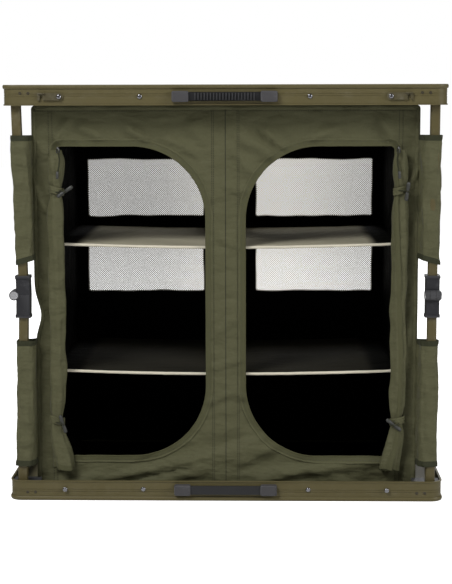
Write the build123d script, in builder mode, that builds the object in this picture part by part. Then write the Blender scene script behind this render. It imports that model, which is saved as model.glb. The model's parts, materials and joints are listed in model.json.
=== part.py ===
from build123d import *
import math
import os

# Folding storage cupboard for camping: two aluminium frames that close on each other as a flat
# case, four folding legs set round them as a pinwheel, and a fabric cabinet hung between them.
# Millimetres, +Z up, front towards -Y, origin on the ground under the middle of the frames.

# Overall sizes
width = 606.0
depth = 370.0
height = 576.0

# Frame rails: one extruded section, bent round four corners
rail_height = 28.0
rail_wall = 1.8
corner_radius = 18.0
bead_height = 5.5
bead_proud = 2.0
lip_height = 1.6
lip_proud = 1.0
flange_thickness = 1.2
flange_width = 12.0
groove_depth = 0.4
groove_height = 1.0

# Boards of the base and the top
panel_thickness = 3.6
panel_clearance = 0.2

# Legs: tube section, pivots and the offset knee pin
tube_size = 13.0
tube_wall = 1.2
tube_radius = 2.5
leg_inset_x = 17.5
leg_inset_y = 18.0
pivot_height = 15.7
pin_offset = 12.3
knee_in = 6.4
leg_pin_radius = 2.5
leg_pin_length = 24.0
pin_clearance = 0.05

# Knee knuckles, a lug on the lower half between two prongs on the upper half
knuckle_width = 21.0
knuckle_thickness = 20.6
lower_knuckle_length = 31.5
upper_knuckle_length = 27.0
knuckle_edge = 2.0
knuckle_collar = 4.0
knuckle_waist = 0.8
lug_radius = 7.1
lug_thickness = 8.0
lug_clearance = 0.3
knee_pin_radius = 2.4
pin_head_radius = 5.6
pin_head_thickness = 1.2
pin_head_gap = 0.2
stop_gap = 0.1
tube_stop = 10.0
socket_clearance = 0.05

# Corner blocks that hold the feet and heads of the legs
block_length = 38.0
block_tie_gap = 0.8
block_gap = 0.3
block_top_gap = 2.0
block_edge = 1.2
channel_clearance = 0.45
channel_end_gap = 0.8
channel_floor = 2.2

# Rivets and screws on the rails
fastener_height = 16.0
rivet_height = 11.5
rivet_inset = 26.0
rivet_pitch = 11.0
rivet_head_radius = 2.0
rivet_head_height = 0.8
rivet_edge = 0.45
rivet_shank_radius = 1.5
rivet_depth = 4.0
screw_spacing = 230.0
screw_head_radius = 3.4
screw_head_height = 2.2
screw_edge = 1.8
screw_shank_radius = 1.6
screw_tail = 1.4
hole_clearance = 0.1

# Latches: a hooked plate at each end of the top front rail, and its peg on the base rail
latch_inset = 79.0
latch_height = 10.5
latch_bar_height = 9.9
latch_tab_length = 10.0
latch_tab_thickness = 1.2
latch_tab_proud = 2.4
latch_thickness = 1.5
latch_washer = 1.3
latch_washer_radius = 4.0
latch_gap = 0.1
latch_hook = 3.6
latch_screw_radius = 2.0
peg_radius = 1.7
peg_clearance = 0.3
peg_head_radius = 3.4
peg_head_height = 1.8
peg_play = 0.4
peg_edge = 1.4

# Carry handles in the middle of the front rails
handle_length = 143.0
handle_height = 15.0
handle_proud = 8.5
handle_cap_length = 23.0
handle_cap_edge = 2.5
handle_cap_round = 2.0
strap_height = 12.0
strap_thickness = 3.0
strap_gap = 3.0
strap_tuck = 14.0
strap_fit = 0.3
strap_edge = 1.0
rib_count = 20
rib_pitch = 4.2
rib_width = 1.8
rib_proud = 0.8

# Fabric cabinet
cloth = 1.2
cloth_gap = 0.3
cabinet_side_gap = 63.0
cabinet_end_gap = 36.5
ceiling_drop = 35.0
flange = 26.0
flange_top_gap = 8.0
flange_corner = 5.0

# Door openings in the front, each edged by its zip
door_rise = 28.0
door_drop = 84.0
door_strip = 55.0
door_edge = 7.0
door_inner_radius = 101.0
door_outer_radius = 12.0
zip_band = 7.0
zip_thickness = 0.8
slider_width = 5.0
slider_length = 9.0
slider_thickness = 3.0
slider_edge = 0.8
slider_drop = 14.0
pull_radius = 1.1
pull_length = 32.0

# Shelves, which sag a little between the walls that carry them
shelf_end_gap = 6.0
shelf_thickness = 4.0
shelf_sag = 5.0
upper_shelf_drop = 218.0

# Mesh windows in the back
window_width = 183.0
window_height = 90.0
window_strip = 82.0
window_corner = 8.0
lower_window_drop = 106.0
upper_window_rise = 13.0
window_seam = 6.0
mesh_columns = 12
mesh_rows = 6
mesh_strand = 3.0
mesh_thickness = 0.8

# Doors, rolled and tied back at the outer edge of each opening
roll_inset = 4.0
roll_end = 4.2
roll_shoulder = 9.4
roll_radius = 10.5
roll_belly = 9.0
roll_waist = 7.0
roll_flare = 13.0
roll_ease = 48.0
roll_flat_ratio = 0.62
roll_gap = 0.6
roll_drop = 22.0
roll_rise = 12.0
tie_drop = 37.0
tie_rise = 80.0
roll_folds = 7
fold_depth_ratio = 0.16
tie_width = 9.0
tie_thickness = 1.2
tie_clearance = 0.7
toggle_radius = 2.6
toggle_length = 26.0
toggle_tilt = 40.0

# Sleeves that tie the cabinet to the legs
sleeve_foot_rise = 19.0
sleeve_knee_drop = 64.0
sleeve_knee_rise = 44.0
sleeve_head_drop = 69.0
sleeve_wall = 1.0
sleeve_outer = 11.4
sleeve_inner = 17.5
sleeve_thickness = 16.0
sleeve_corner = 4.0
sleeve_hem = 7.0
sleeve_hem_proud = 0.8

# Webbing ties at the corners of the cabinet
tie_strap_width = 12.0
tie_strap_thickness = 1.4
tie_strap_length = 30.0
tie_strap_inset = 8.0

# Places that follow from the sizes above
face_x, face_y = width / 2 - bead_proud, depth / 2 - bead_proud
inner_x, inner_y = face_x - rail_wall, face_y - rail_wall
leg_x, leg_y = width / 2 - leg_inset_x, depth / 2 - leg_inset_y
panel_top = flange_thickness + panel_thickness
knee_z = height / 2
half_leg = knee_z - pivot_height
tilt = math.atan2(knee_in, half_leg)
slant_leg = half_leg / math.cos(tilt)
cabinet_width, cabinet_depth = width - 2 * cabinet_side_gap, depth - 2 * cabinet_end_gap
ceiling_z = height - ceiling_drop
cloth_bottom = panel_top + cloth_gap
cloth_top = height - panel_top - cloth_gap
flange_top = height - rail_height - flange_top_gap
front_y = -cabinet_depth / 2
block_reach = inner_y - block_gap - (cabinet_depth / 2 + cloth + tie_strap_thickness + block_tie_gap)
latch_x = width / 2 - latch_inset
latch_reach = 2 * (rail_height - fastener_height)
door_bottom, door_top = rail_height + door_rise, height - door_drop
door_outer_x = cabinet_width / 2 - door_edge
slider_z = door_top - slider_drop
shelf_depth = cabinet_depth - 2 * shelf_end_gap
upper_shelf_z = height - upper_shelf_drop
lower_shelf_z = upper_shelf_z / 2
lower_window_z, upper_window_z = upper_shelf_z - lower_window_drop, upper_shelf_z + upper_window_rise
roll_x = door_outer_x - roll_inset
roll_top, roll_hem = door_top - roll_drop, rail_height + roll_rise
tie_top, tie_bottom = roll_top - tie_drop, rail_height + tie_rise
lower_sleeve_bottom, lower_sleeve_top = rail_height + sleeve_foot_rise, knee_z - sleeve_knee_drop
upper_sleeve_bottom, upper_sleeve_top = knee_z + sleeve_knee_rise, height - sleeve_head_drop
turn_over = Plane.XY.offset(height / 2)
front = Plane(origin=(0, -face_y, 0), x_dir=(1, 0, 0), z_dir=(0, -1, 0))
back = Plane(origin=(0, face_y, 0), x_dir=(-1, 0, 0), z_dir=(0, 1, 0))

os.makedirs("parts", exist_ok=True)


def save(builder, name):
    """Labels a finished piece and writes it to its own file."""
    builder.part.label = name
    export_step(builder.part, f"parts/{name}.step")


def save_turned(part, name):
    """Writes the same piece for the top frame, which is the base frame turned over."""
    with BuildPart() as turned:
        mirror(part, about=turn_over)
    save(turned, name)


# Rail: the extruded section swept round the frame
groove_low = rail_height / 2 - 2 * groove_height
groove_high = rail_height / 2 + groove_height
with BuildPart() as plain_rail:
    with BuildLine() as rail_path:
        Polyline(
            (-face_x, -face_y), (face_x, -face_y), (face_x, face_y), (-face_x, face_y), close=True
        )
        fillet(rail_path.vertices(), corner_radius - bead_proud)
    with BuildSketch(Plane(origin=(0, -face_y, 0), x_dir=(0, -1, 0), z_dir=(-1, 0, 0))):
        with BuildLine():
            inside = Polyline(
                (0, rail_height),
                (-rail_wall, rail_height),
                (-rail_wall, flange_thickness),
                (-flange_width, flange_thickness),
                (-flange_width, 0),
                (bead_proud / 2, 0),
            )
            bead = ThreePointArc(
                inside @ 1, (bead_proud, bead_height / 2), (bead_proud / 2, bead_height)
            )
            Polyline(
                bead @ 1,
                (0, bead_height),
                (0, groove_low),
                (-groove_depth, groove_low),
                (-groove_depth, groove_low + groove_height),
                (0, groove_low + groove_height),
                (0, groove_high),
                (-groove_depth, groove_high),
                (-groove_depth, groove_high + groove_height),
                (0, groove_high + groove_height),
                (0, rail_height - lip_height),
                (lip_proud, rail_height - lip_height),
                (lip_proud, rail_height),
                (0, rail_height),
            )
        make_face()
    sweep(path=rail_path.wire())

rivet_row = width / 2 - rivet_inset - rivet_pitch / 2
rivet_places = [
    (side * rivet_row + step * rivet_pitch / 2, rivet_height) for side in (-1, 1) for step in (-1, 1)
]
screw_places = [(side * screw_spacing / 2, fastener_height) for side in (-1, 1)]
latch_places = [(side * latch_x, fastener_height) for side in (-1, 1)]


def holes(plane, places, radius):
    """Round cutters through the rail wall, set out as seen from outside."""
    with BuildPart() as cutters:
        with BuildSketch(plane):
            with Locations(*places):
                Circle(radius + hole_clearance)
        extrude(amount=-2 * rail_wall)
    return cutters.part


shared_holes = [
    holes(front, rivet_places, rivet_shank_radius),
    holes(back, rivet_places, rivet_shank_radius),
    holes(front, screw_places, screw_shank_radius),
]
peg_holes = holes(front, latch_places, peg_radius)
latch_holes = holes(front, latch_places, latch_screw_radius)
with BuildPart() as lower_rail:
    add(plain_rail.part)
    add([*shared_holes, peg_holes], mode=Mode.SUBTRACT)
save(lower_rail, "base_rail")
with BuildPart() as upper_rail:
    add(plain_rail.part)
    add([*shared_holes, latch_holes], mode=Mode.SUBTRACT)
save_turned(upper_rail.part, "top_rail")

# Boards that fill the frames, laid on the inner flange of the rail
with BuildPart() as base_panel:
    with BuildSketch(Plane.XY.offset(flange_thickness)):
        RectangleRounded(
            2 * (inner_x - panel_clearance),
            2 * (inner_y - panel_clearance),
            corner_radius - bead_proud - rail_wall - panel_clearance,
        )
    extrude(amount=panel_thickness)
save(base_panel, "base_panel")
save_turned(base_panel.part, "top_panel")


# Corner blocks: moulded pieces with a channel that lets the leg swing one way only
def corner_block(side, along_x):
    """The block of a front corner, side -1 for left, its channel running along X or along Y."""
    leg_at = (side * leg_x, -leg_y)
    channel = tube_size + 2 * channel_clearance
    behind = tube_size / 2 + channel_end_gap
    with BuildPart() as block:
        with BuildSketch(Plane.XY.offset(panel_top)):
            with Locations((side * (inner_x - block_gap), block_gap - inner_y)):
                Rectangle(
                    block_length,
                    block_reach,
                    align=(Align.MAX if side > 0 else Align.MIN, Align.MIN),
                )
        extrude(amount=rail_height - panel_top - block_top_gap)
        corners = block.edges().filter_by(Axis.Z)
        outer = corners.sort_by_distance((side * inner_x, -inner_y, panel_top))[0]
        fillet(outer, corner_radius - bead_proud - rail_wall - block_gap)
        fillet(block.faces().sort_by(Axis.Z)[-1].edges(), block_edge)
        with BuildSketch(Plane.XY.offset(panel_top + channel_floor)):
            with Locations(leg_at):
                if along_x:
                    with Locations((side * behind, 0)):
                        Rectangle(
                            2 * block_length,
                            channel,
                            align=(Align.MAX if side > 0 else Align.MIN, Align.CENTER),
                        )
                else:
                    with Locations((0, -behind)):
                        Rectangle(channel, 2 * block_reach, align=(Align.CENTER, Align.MIN))
        extrude(amount=rail_height, mode=Mode.SUBTRACT)
        across = Plane.XZ if along_x else Plane.YZ
        with BuildSketch(Plane(origin=(*leg_at, pivot_height), z_dir=across.z_dir)):
            Circle(leg_pin_radius)
        extrude(amount=leg_pin_length / 2, both=True, mode=Mode.SUBTRACT)
        with BuildSketch(front.offset(-rail_wall)):
            with Locations(*[p for p in rivet_places if p[0] * side > 0]):
                Circle(rivet_shank_radius + hole_clearance)
        extrude(amount=-(rivet_depth - rail_wall + hole_clearance), mode=Mode.SUBTRACT)
    return block.part


left_block = corner_block(-1, along_x=True)
right_block = corner_block(1, along_x=False)
with BuildPart() as base_corner_blocks:
    with PolarLocations(0, 2):
        add(left_block)
        add(right_block)
save(base_corner_blocks, "base_corner_blocks")
save_turned(base_corner_blocks.part, "top_corner_blocks")


# Rivets, screws, pegs and pins
def fastener(head_radius, head_height, edge, shank_radius, shank_length, ease=fillet):
    """A head with an eased edge on a plain shank, head up."""
    with BuildPart() as piece:
        with BuildSketch():
            Circle(head_radius)
        extrude(amount=head_height)
        ease(piece.faces().sort_by(Axis.Z)[-1].edges(), edge)
        with BuildSketch():
            Circle(shank_radius)
        extrude(amount=-shank_length)
    return piece.part


rivet = fastener(
    rivet_head_radius, rivet_head_height, rivet_edge, rivet_shank_radius, rivet_depth, chamfer
)
with BuildPart() as base_rivets:
    for wall in (front, back):
        with Locations(wall):
            with Locations(*rivet_places):
                add(rivet)
save(base_rivets, "base_rivets")
save_turned(base_rivets.part, "top_rivets")

screw = fastener(
    screw_head_radius, screw_head_height, screw_edge, screw_shank_radius, rail_wall + screw_tail
)
peg_reach = latch_washer + latch_thickness + peg_play
peg = fastener(
    peg_head_radius, peg_head_height, peg_edge, peg_radius, peg_reach + rail_wall + screw_tail
)
with BuildPart() as plain_screws:
    with Locations(front):
        with Locations(*screw_places):
            add(screw)
save_turned(plain_screws.part, "top_screws")
with BuildPart() as base_screws:
    add(plain_screws.part)
    with Locations(front.offset(peg_reach)):
        with Locations(*latch_places):
            add(peg)
save(base_screws, "base_screws")

latch_screw_reach = latch_washer + latch_thickness + latch_gap
with BuildPart() as shouldered_screw:
    add(
        fastener(
            screw_head_radius,
            screw_head_height,
            screw_edge,
            latch_screw_radius,
            latch_screw_reach + rail_wall + screw_tail,
        )
    )
    with BuildSketch(Plane.XY.offset(-latch_screw_reach)):
        Circle(latch_washer_radius)
    extrude(amount=latch_washer - latch_gap)
with BuildPart() as latch_screws:
    with Locations(front.offset(latch_screw_reach)):
        with Locations(*latch_places):
            add(shouldered_screw.part)
save_turned(latch_screws.part, "latch_screws")

# Latches: drawn for the base frame's side and turned over with it
for side, name in ((-1, "left_latch"), (1, "right_latch")):
    hook_end = latch_reach + peg_radius + peg_clearance + latch_hook
    slot_width = 2 * (peg_radius + peg_clearance)
    with BuildPart() as latch:
        with BuildSketch(front.offset(latch_washer)):
            with Locations((side * latch_x, fastener_height)):
                Circle(latch_height / 2)
                with Locations((side * hook_end / 2, 0)):
                    Rectangle(hook_end, latch_bar_height)
                with Locations((side * latch_reach, 0)):
                    Circle(slot_width / 2, mode=Mode.SUBTRACT)
                    Rectangle(
                        slot_width,
                        latch_height,
                        align=(Align.CENTER, Align.MIN),
                        mode=Mode.SUBTRACT,
                    )
                Circle(latch_screw_radius + pin_clearance, mode=Mode.SUBTRACT)
        extrude(amount=latch_thickness)
        with BuildSketch(front.offset(latch_washer)):
            with Locations((side * latch_x, fastener_height - latch_bar_height / 2)):
                with Locations((side * latch_reach, 0)):
                    Rectangle(
                        latch_tab_length, latch_tab_thickness, align=(Align.CENTER, Align.MIN)
                    )
        extrude(amount=latch_thickness + latch_tab_proud)
    save_turned(latch.part, name)

# Carry handles: two end caps screwed to the rail and a strap that slides in them
cap_x = (handle_length - handle_cap_length) / 2
strap_length = handle_length - 2 * handle_cap_length + 2 * strap_tuck
with BuildPart() as base_handle_caps:
    with BuildSketch(front):
        with Locations((-cap_x, fastener_height), (cap_x, fastener_height)):
            RectangleRounded(handle_cap_length, handle_height, handle_cap_edge)
    extrude(amount=handle_proud)
    fillet(base_handle_caps.faces().sort_by(Axis.Y)[:2].edges(), handle_cap_round)
    with BuildSketch(front.offset(strap_gap - strap_fit)):
        with Locations((0, fastener_height)):
            Rectangle(strap_length + 2 * strap_fit, strap_height + 2 * strap_fit)
    extrude(amount=strap_thickness + 2 * strap_fit, mode=Mode.SUBTRACT)
save(base_handle_caps, "base_handle_caps")
save_turned(base_handle_caps.part, "top_handle_caps")
with BuildPart() as base_handle_strap:
    with BuildSketch(front.offset(strap_gap)):
        with Locations((0, fastener_height)):
            RectangleRounded(strap_length, strap_height, strap_edge)
    extrude(amount=strap_thickness)
save(base_handle_strap, "base_handle_strap")
with BuildPart() as ribbed_strap:
    add(base_handle_strap.part)
    with BuildSketch(front.offset(strap_gap + strap_thickness)):
        with Locations((0, fastener_height)):
            with GridLocations(rib_pitch, 0, rib_count, 1):
                Rectangle(rib_width, strap_height - 2 * strap_edge)
    extrude(amount=rib_proud)
save_turned(ribbed_strap.part, "top_handle_strap")


# Legs: each folds at a knee whose pin stands outside the tube, so that it locks when straight
def knuckle(cross, pin_plane, length, forked):
    """One half of a knee below the knee line, with a middle lug or with two outer prongs."""
    start = slant_leg - length
    room = lug_radius + lug_clearance
    middle = lug_thickness / 2 + (lug_clearance if forked else 0)
    with BuildPart() as piece:
        with BuildSketch(cross.offset(start)):
            RectangleRounded(knuckle_width, knuckle_thickness, knuckle_edge)
        extrude(amount=knuckle_collar)
        with BuildSketch(cross.offset(start + knuckle_collar)):
            RectangleRounded(
                knuckle_width - 2 * knuckle_waist,
                knuckle_thickness - 2 * knuckle_waist,
                knuckle_edge,
            )
        extrude(amount=length)
        split(bisect_by=Plane.XY.offset(knee_z - stop_gap / 2), keep=Keep.BOTTOM)
        if forked:
            with BuildSketch(pin_plane):
                Circle(room)
            extrude(amount=middle, both=True, mode=Mode.SUBTRACT)
            for way in (-1, 1):
                with BuildSketch(pin_plane.offset(way * middle)):
                    Circle(lug_radius)
                extrude(amount=way * (knuckle_thickness / 2 - middle))
        else:
            for way in (-1, 1):
                with BuildSketch(pin_plane.offset(way * middle)):
                    Circle(room)
                extrude(amount=way * knuckle_thickness, mode=Mode.SUBTRACT)
            with BuildSketch(pin_plane):
                Circle(lug_radius)
            extrude(amount=middle, both=True)
        with BuildSketch(pin_plane):
            Circle(knee_pin_radius + (pin_clearance if forked else 0))
        extrude(amount=knuckle_thickness, both=True, mode=Mode.SUBTRACT)
        with BuildSketch(cross.offset(start)):
            RectangleRounded(
                tube_size + 2 * socket_clearance,
                tube_size + 2 * socket_clearance,
                tube_radius + socket_clearance,
            )
        extrude(amount=length - tube_stop, mode=Mode.SUBTRACT)
    return piece


def half_leg_tube(side_plane, cross):
    """A square tube from the foot pivot up into the knuckle, its end rounded about the pivot."""
    with BuildPart() as tube:
        with BuildSketch(cross.offset(-tube_size / 2)):
            RectangleRounded(tube_size, tube_size, tube_radius)
            RectangleRounded(
                tube_size - 2 * tube_wall,
                tube_size - 2 * tube_wall,
                tube_radius - tube_wall,
                mode=Mode.SUBTRACT,
            )
        extrude(amount=tube_size / 2 + slant_leg - tube_stop)
        with BuildSketch(side_plane):
            Circle(tube_size / 2)
            Rectangle(2 * tube_size, slant_leg, align=(Align.CENTER, Align.MIN))
            Circle(leg_pin_radius + pin_clearance, mode=Mode.SUBTRACT)
        extrude(amount=tube_size, both=True, mode=Mode.INTERSECT)
    return tube


def sleeve(cross, along_x, bottom, top):
    """A hollow fabric sleeve round the lower half of a leg, hemmed at both ends."""
    long, thick = sleeve_outer + sleeve_inner, sleeve_thickness
    shift = (sleeve_inner - sleeve_outer) / 2
    centre = (shift, 0) if along_x else (0, shift)
    low, length = (bottom - pivot_height) / math.cos(tilt), (top - bottom) / math.cos(tilt)

    def ring(extra):
        sides = (long + 2 * extra, thick + 2 * extra)
        return sides if along_x else sides[::-1]

    with BuildPart() as cover:
        with BuildSketch(cross.offset(low)):
            with Locations(centre):
                RectangleRounded(*ring(0), sleeve_corner)
        extrude(amount=length)
        for start in (low, low + length - sleeve_hem):
            with BuildSketch(cross.offset(start)):
                with Locations(centre):
                    RectangleRounded(*ring(sleeve_hem_proud), sleeve_corner + sleeve_hem_proud)
            extrude(amount=sleeve_hem)
        with BuildSketch(cross.offset(low)):
            with Locations(centre):
                RectangleRounded(*ring(-sleeve_wall), sleeve_corner - sleeve_wall)
        extrude(amount=length, mode=Mode.SUBTRACT)
    return cover


corners = (
    ("front_left", -1, -1, Vector(1, 0, 0)),
    ("front_right", 1, -1, Vector(0, 1, 0)),
    ("rear_right", 1, 1, Vector(-1, 0, 0)),
    ("rear_left", -1, 1, Vector(0, -1, 0)),
)
up = Vector(0, 0, 1)
for corner, side_x, side_y, fold in corners:
    foot = Vector(side_x * leg_x, side_y * leg_y, pivot_height)
    along = fold * math.sin(tilt) + up * math.cos(tilt)
    lean = fold * math.cos(tilt) - up * math.sin(tilt)
    cross = Plane(origin=foot, x_dir=lean, z_dir=along)
    side_plane = Plane(origin=foot, x_dir=lean, z_dir=lean.cross(along))
    pin_at = foot + fold * (knee_in - pin_offset) + up * half_leg
    pin_plane = Plane(origin=pin_at, x_dir=fold, z_dir=fold.cross(up))

    tube = half_leg_tube(side_plane, cross)
    save(tube, f"{corner}_lower_tube")
    save_turned(tube.part, f"{corner}_upper_tube")

    lug_half = knuckle(cross, pin_plane, lower_knuckle_length, forked=False)
    save(lug_half, f"{corner}_lower_knuckle")
    fork_half = knuckle(cross, pin_plane, upper_knuckle_length, forked=True)
    save_turned(fork_half.part, f"{corner}_upper_knuckle")

    head_at = knuckle_thickness / 2 + pin_head_gap
    with BuildPart() as knee_pin:
        with BuildSketch(pin_plane):
            Circle(knee_pin_radius)
        extrude(amount=head_at, both=True)
        for way in (-1, 1):
            with BuildSketch(pin_plane.offset(way * head_at)):
                Circle(pin_head_radius)
            extrude(amount=way * pin_head_thickness)
    save(knee_pin, f"{corner}_knee_pin")

    along_x = abs(fold.X) > abs(fold.Y)
    cover = sleeve(cross, along_x, lower_sleeve_bottom, lower_sleeve_top)
    save(cover, f"{corner}_lower_sleeve")
    cover = sleeve(cross, along_x, height - upper_sleeve_top, height - upper_sleeve_bottom)
    save_turned(cover.part, f"{corner}_upper_sleeve")

with BuildPart() as base_leg_pins:
    for corner, side_x, side_y, fold in corners:
        foot = Vector(side_x * leg_x, side_y * leg_y, pivot_height)
        with BuildSketch(Plane(origin=foot, x_dir=fold, z_dir=fold.cross(up))):
            Circle(leg_pin_radius)
        extrude(amount=leg_pin_length / 2, both=True)
save(base_leg_pins, "base_leg_pins")
save_turned(base_leg_pins.part, "top_leg_pins")


# Fabric cabinet: side walls, floor and ceiling in one tube of cloth
with BuildPart() as cabinet_walls:
    with BuildSketch(Plane.XZ.offset(cabinet_depth / 2)):
        with Locations((0, cloth_bottom)):
            Rectangle(
                cabinet_width + 2 * cloth, cloth_top - cloth_bottom, align=(Align.CENTER, Align.MIN)
            )
        with Locations((0, cloth_bottom + cloth)):
            Rectangle(
                cabinet_width,
                ceiling_z - cloth_bottom - cloth,
                align=(Align.CENTER, Align.MIN),
                mode=Mode.SUBTRACT,
            )
        with Locations((0, ceiling_z + cloth)):
            Rectangle(
                cabinet_width,
                height - ceiling_z,
                align=(Align.CENTER, Align.MIN),
                mode=Mode.SUBTRACT,
            )
    extrude(amount=-cabinet_depth)
save(cabinet_walls, "cabinet_walls")


def door_outline(side, grow):
    """The D of one door, straight at its outer edge, widened all round by grow."""
    inner_edge = door_strip / 2 - grow
    outer_edge = door_outer_x + grow
    with BuildSketch(mode=Mode.PRIVATE) as shape:
        with Locations((side * (inner_edge + outer_edge) / 2, (door_bottom + door_top) / 2)):
            Rectangle(outer_edge - inner_edge, door_top - door_bottom + 2 * grow)
        points = shape.vertices().sort_by(lambda v: abs(v.X))
        fillet(points[:2], door_inner_radius + grow)
        fillet(shape.vertices().group_by(lambda v: round(abs(v.X), 3))[-1], door_outer_radius + grow)
    return shape.sketch


wall_front = Plane(origin=(0, front_y, 0), x_dir=(1, 0, 0), z_dir=(0, -1, 0))
flange_half = cabinet_width / 2 + flange
with BuildPart() as cabinet_front:
    with BuildSketch(wall_front) as front_shape:
        with Locations((0, (cloth_bottom + flange_top) / 2)):
            RectangleRounded(2 * flange_half, flange_top - cloth_bottom, flange_corner)
        add(door_outline(-1, 0), mode=Mode.SUBTRACT)
        add(door_outline(1, 0), mode=Mode.SUBTRACT)
    extrude(amount=cloth)
save(cabinet_front, "cabinet_front")

with BuildPart() as door_zips:
    with BuildSketch(wall_front.offset(cloth)):
        for side in (-1, 1):
            add(door_outline(side, zip_band))
            add(door_outline(side, 0), mode=Mode.SUBTRACT)
    extrude(amount=zip_thickness)
save(door_zips, "door_zips")

window_x = (window_strip + window_width) / 2
window_places = [
    (side * window_x, low + window_height / 2)
    for side in (-1, 1)
    for low in (lower_window_z, upper_window_z)
]
wall_back = Plane(origin=(0, -front_y, 0), x_dir=(-1, 0, 0), z_dir=(0, 1, 0))
with BuildPart() as cabinet_back:
    with BuildSketch(wall_back):
        with Locations((0, (cloth_bottom + flange_top) / 2)):
            RectangleRounded(2 * flange_half, flange_top - cloth_bottom, flange_corner)
        with Locations(*window_places):
            RectangleRounded(window_width, window_height, window_corner, mode=Mode.SUBTRACT)
    extrude(amount=cloth)
save(cabinet_back, "cabinet_back")

mesh_pitch_x = window_width / mesh_columns
mesh_pitch_z = window_height / mesh_rows
with BuildPart() as window_meshes:
    with BuildSketch(wall_back.offset(cloth)):
        with Locations(*window_places):
            RectangleRounded(
                window_width + 2 * window_seam,
                window_height + 2 * window_seam,
                window_corner + window_seam,
            )
            with GridLocations(mesh_pitch_x, mesh_pitch_z, mesh_columns, mesh_rows):
                Rectangle(
                    mesh_pitch_x - mesh_strand, mesh_pitch_z - mesh_strand, mode=Mode.SUBTRACT
                )
    extrude(amount=mesh_thickness)
save(window_meshes, "window_meshes")

# Shelves: stiff boards in cloth covers
shelf_half = cabinet_width / 2 - cloth_gap
for name, level in (("lower_shelf", lower_shelf_z), ("upper_shelf", upper_shelf_z)):
    with BuildPart() as shelf:
        with BuildSketch(Plane.XZ):
            with BuildLine():
                top_line = ThreePointArc(
                    (-shelf_half, level), (0, level - shelf_sag), (shelf_half, level)
                )
                bottom_line = ThreePointArc(
                    (-shelf_half, level - shelf_thickness),
                    (0, level - shelf_thickness - shelf_sag),
                    (shelf_half, level - shelf_thickness),
                )
                Line(top_line @ 0, bottom_line @ 0)
                Line(top_line @ 1, bottom_line @ 1)
            make_face()
        extrude(amount=shelf_depth / 2, both=True)
    save(shelf, name)


# Rolled doors: cloth gathered in soft folds and drawn in at its two ties
def folded_ring(level, at_x, at_y, radius):
    """A closed line of shallow folds round a flattened circle."""
    def point(turn, reach):
        angle = 2 * math.pi * turn / roll_folds
        return (reach * math.cos(angle), roll_flat_ratio * reach * math.sin(angle))

    with BuildSketch(Plane(origin=(at_x, at_y, level), x_dir=(1, 0, 0), z_dir=(0, 0, 1))) as ring:
        with BuildLine():
            for turn in range(roll_folds):
                ThreePointArc(
                    point(turn, radius * (1 - fold_depth_ratio)),
                    point(turn + 0.5, radius),
                    point(turn + 1, radius * (1 - fold_depth_ratio)),
                )
        make_face()
    return ring.sketch


roll_y = front_y - cloth - zip_thickness - roll_gap - roll_flat_ratio * roll_flare
roll_stations = (
    (roll_top, roll_end),
    ((roll_top + tie_top) / 2, roll_shoulder),
    (tie_top + tie_width / 2, roll_waist),
    (tie_top - tie_width / 2, roll_waist),
    (tie_top - roll_ease, roll_radius),
    ((tie_top + tie_bottom) / 2, roll_belly),
    (tie_bottom + roll_ease, roll_radius),
    (tie_bottom + tie_width / 2, roll_waist),
    (tie_bottom - tie_width / 2, roll_waist),
    (roll_hem, roll_flare),
)
with BuildPart() as right_door_roll:
    loft([folded_ring(level, roll_x, roll_y, radius) for level, radius in roll_stations], ruled=True)
save(right_door_roll, "right_door_roll")
with BuildPart() as left_door_roll:
    mirror(right_door_roll.part, about=Plane.YZ)
save(left_door_roll, "left_door_roll")

tie_places = [(side * roll_x, level) for side in (-1, 1) for level in (tie_top, tie_bottom)]
tie_inside = roll_waist + tie_clearance
toggle_y = roll_y - roll_flat_ratio * tie_inside - tie_thickness - toggle_radius
with BuildPart() as door_ties:
    for at_x, level in tie_places:
        with BuildSketch(Plane(origin=(at_x, roll_y, level - tie_width / 2), z_dir=(0, 0, 1))):
            Ellipse(tie_inside + tie_thickness, roll_flat_ratio * tie_inside + tie_thickness)
            Ellipse(tie_inside, roll_flat_ratio * tie_inside, mode=Mode.SUBTRACT)
        extrude(amount=tie_width)
        lean = math.copysign(toggle_tilt, -at_x)
        with Locations(Location((at_x, toggle_y, level), (0, lean, 0))):
            Cylinder(toggle_radius, toggle_length)
save(door_ties, "door_ties")

slider_y = front_y - cloth - zip_thickness
with BuildPart() as zip_sliders:
    for side in (-1, 1):
        at_x = side * (door_outer_x - slider_width / 2)
        with BuildSketch(Plane(origin=(0, slider_y, 0), x_dir=(1, 0, 0), z_dir=(0, -1, 0))):
            with Locations((at_x, slider_z)):
                RectangleRounded(slider_width, slider_length, slider_edge)
        extrude(amount=slider_thickness)
        with BuildSketch(Plane(origin=(at_x, slider_y - slider_thickness / 2, slider_z))):
            Circle(pull_radius)
        extrude(amount=-pull_length)
save(zip_sliders, "zip_sliders")

# Webbing ties between the corners of the cabinet and the frames
with BuildPart() as base_corner_ties:
    with BuildSketch(wall_front.offset(cloth)):
        with Locations(
            *[
                (side * (flange_half - tie_strap_inset), rail_height - block_top_gap)
                for side in (-1, 1)
            ]
        ):
            Rectangle(tie_strap_width, tie_strap_length)
    extrude(amount=tie_strap_thickness)
    mirror(about=Plane.XZ)
save(base_corner_ties, "base_corner_ties")
save_turned(base_corner_ties.part, "top_corner_ties")
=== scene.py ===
import json
import math

import bpy
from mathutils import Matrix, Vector, noise
from mathutils.geometry import delaunay_2d_cdt


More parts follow.
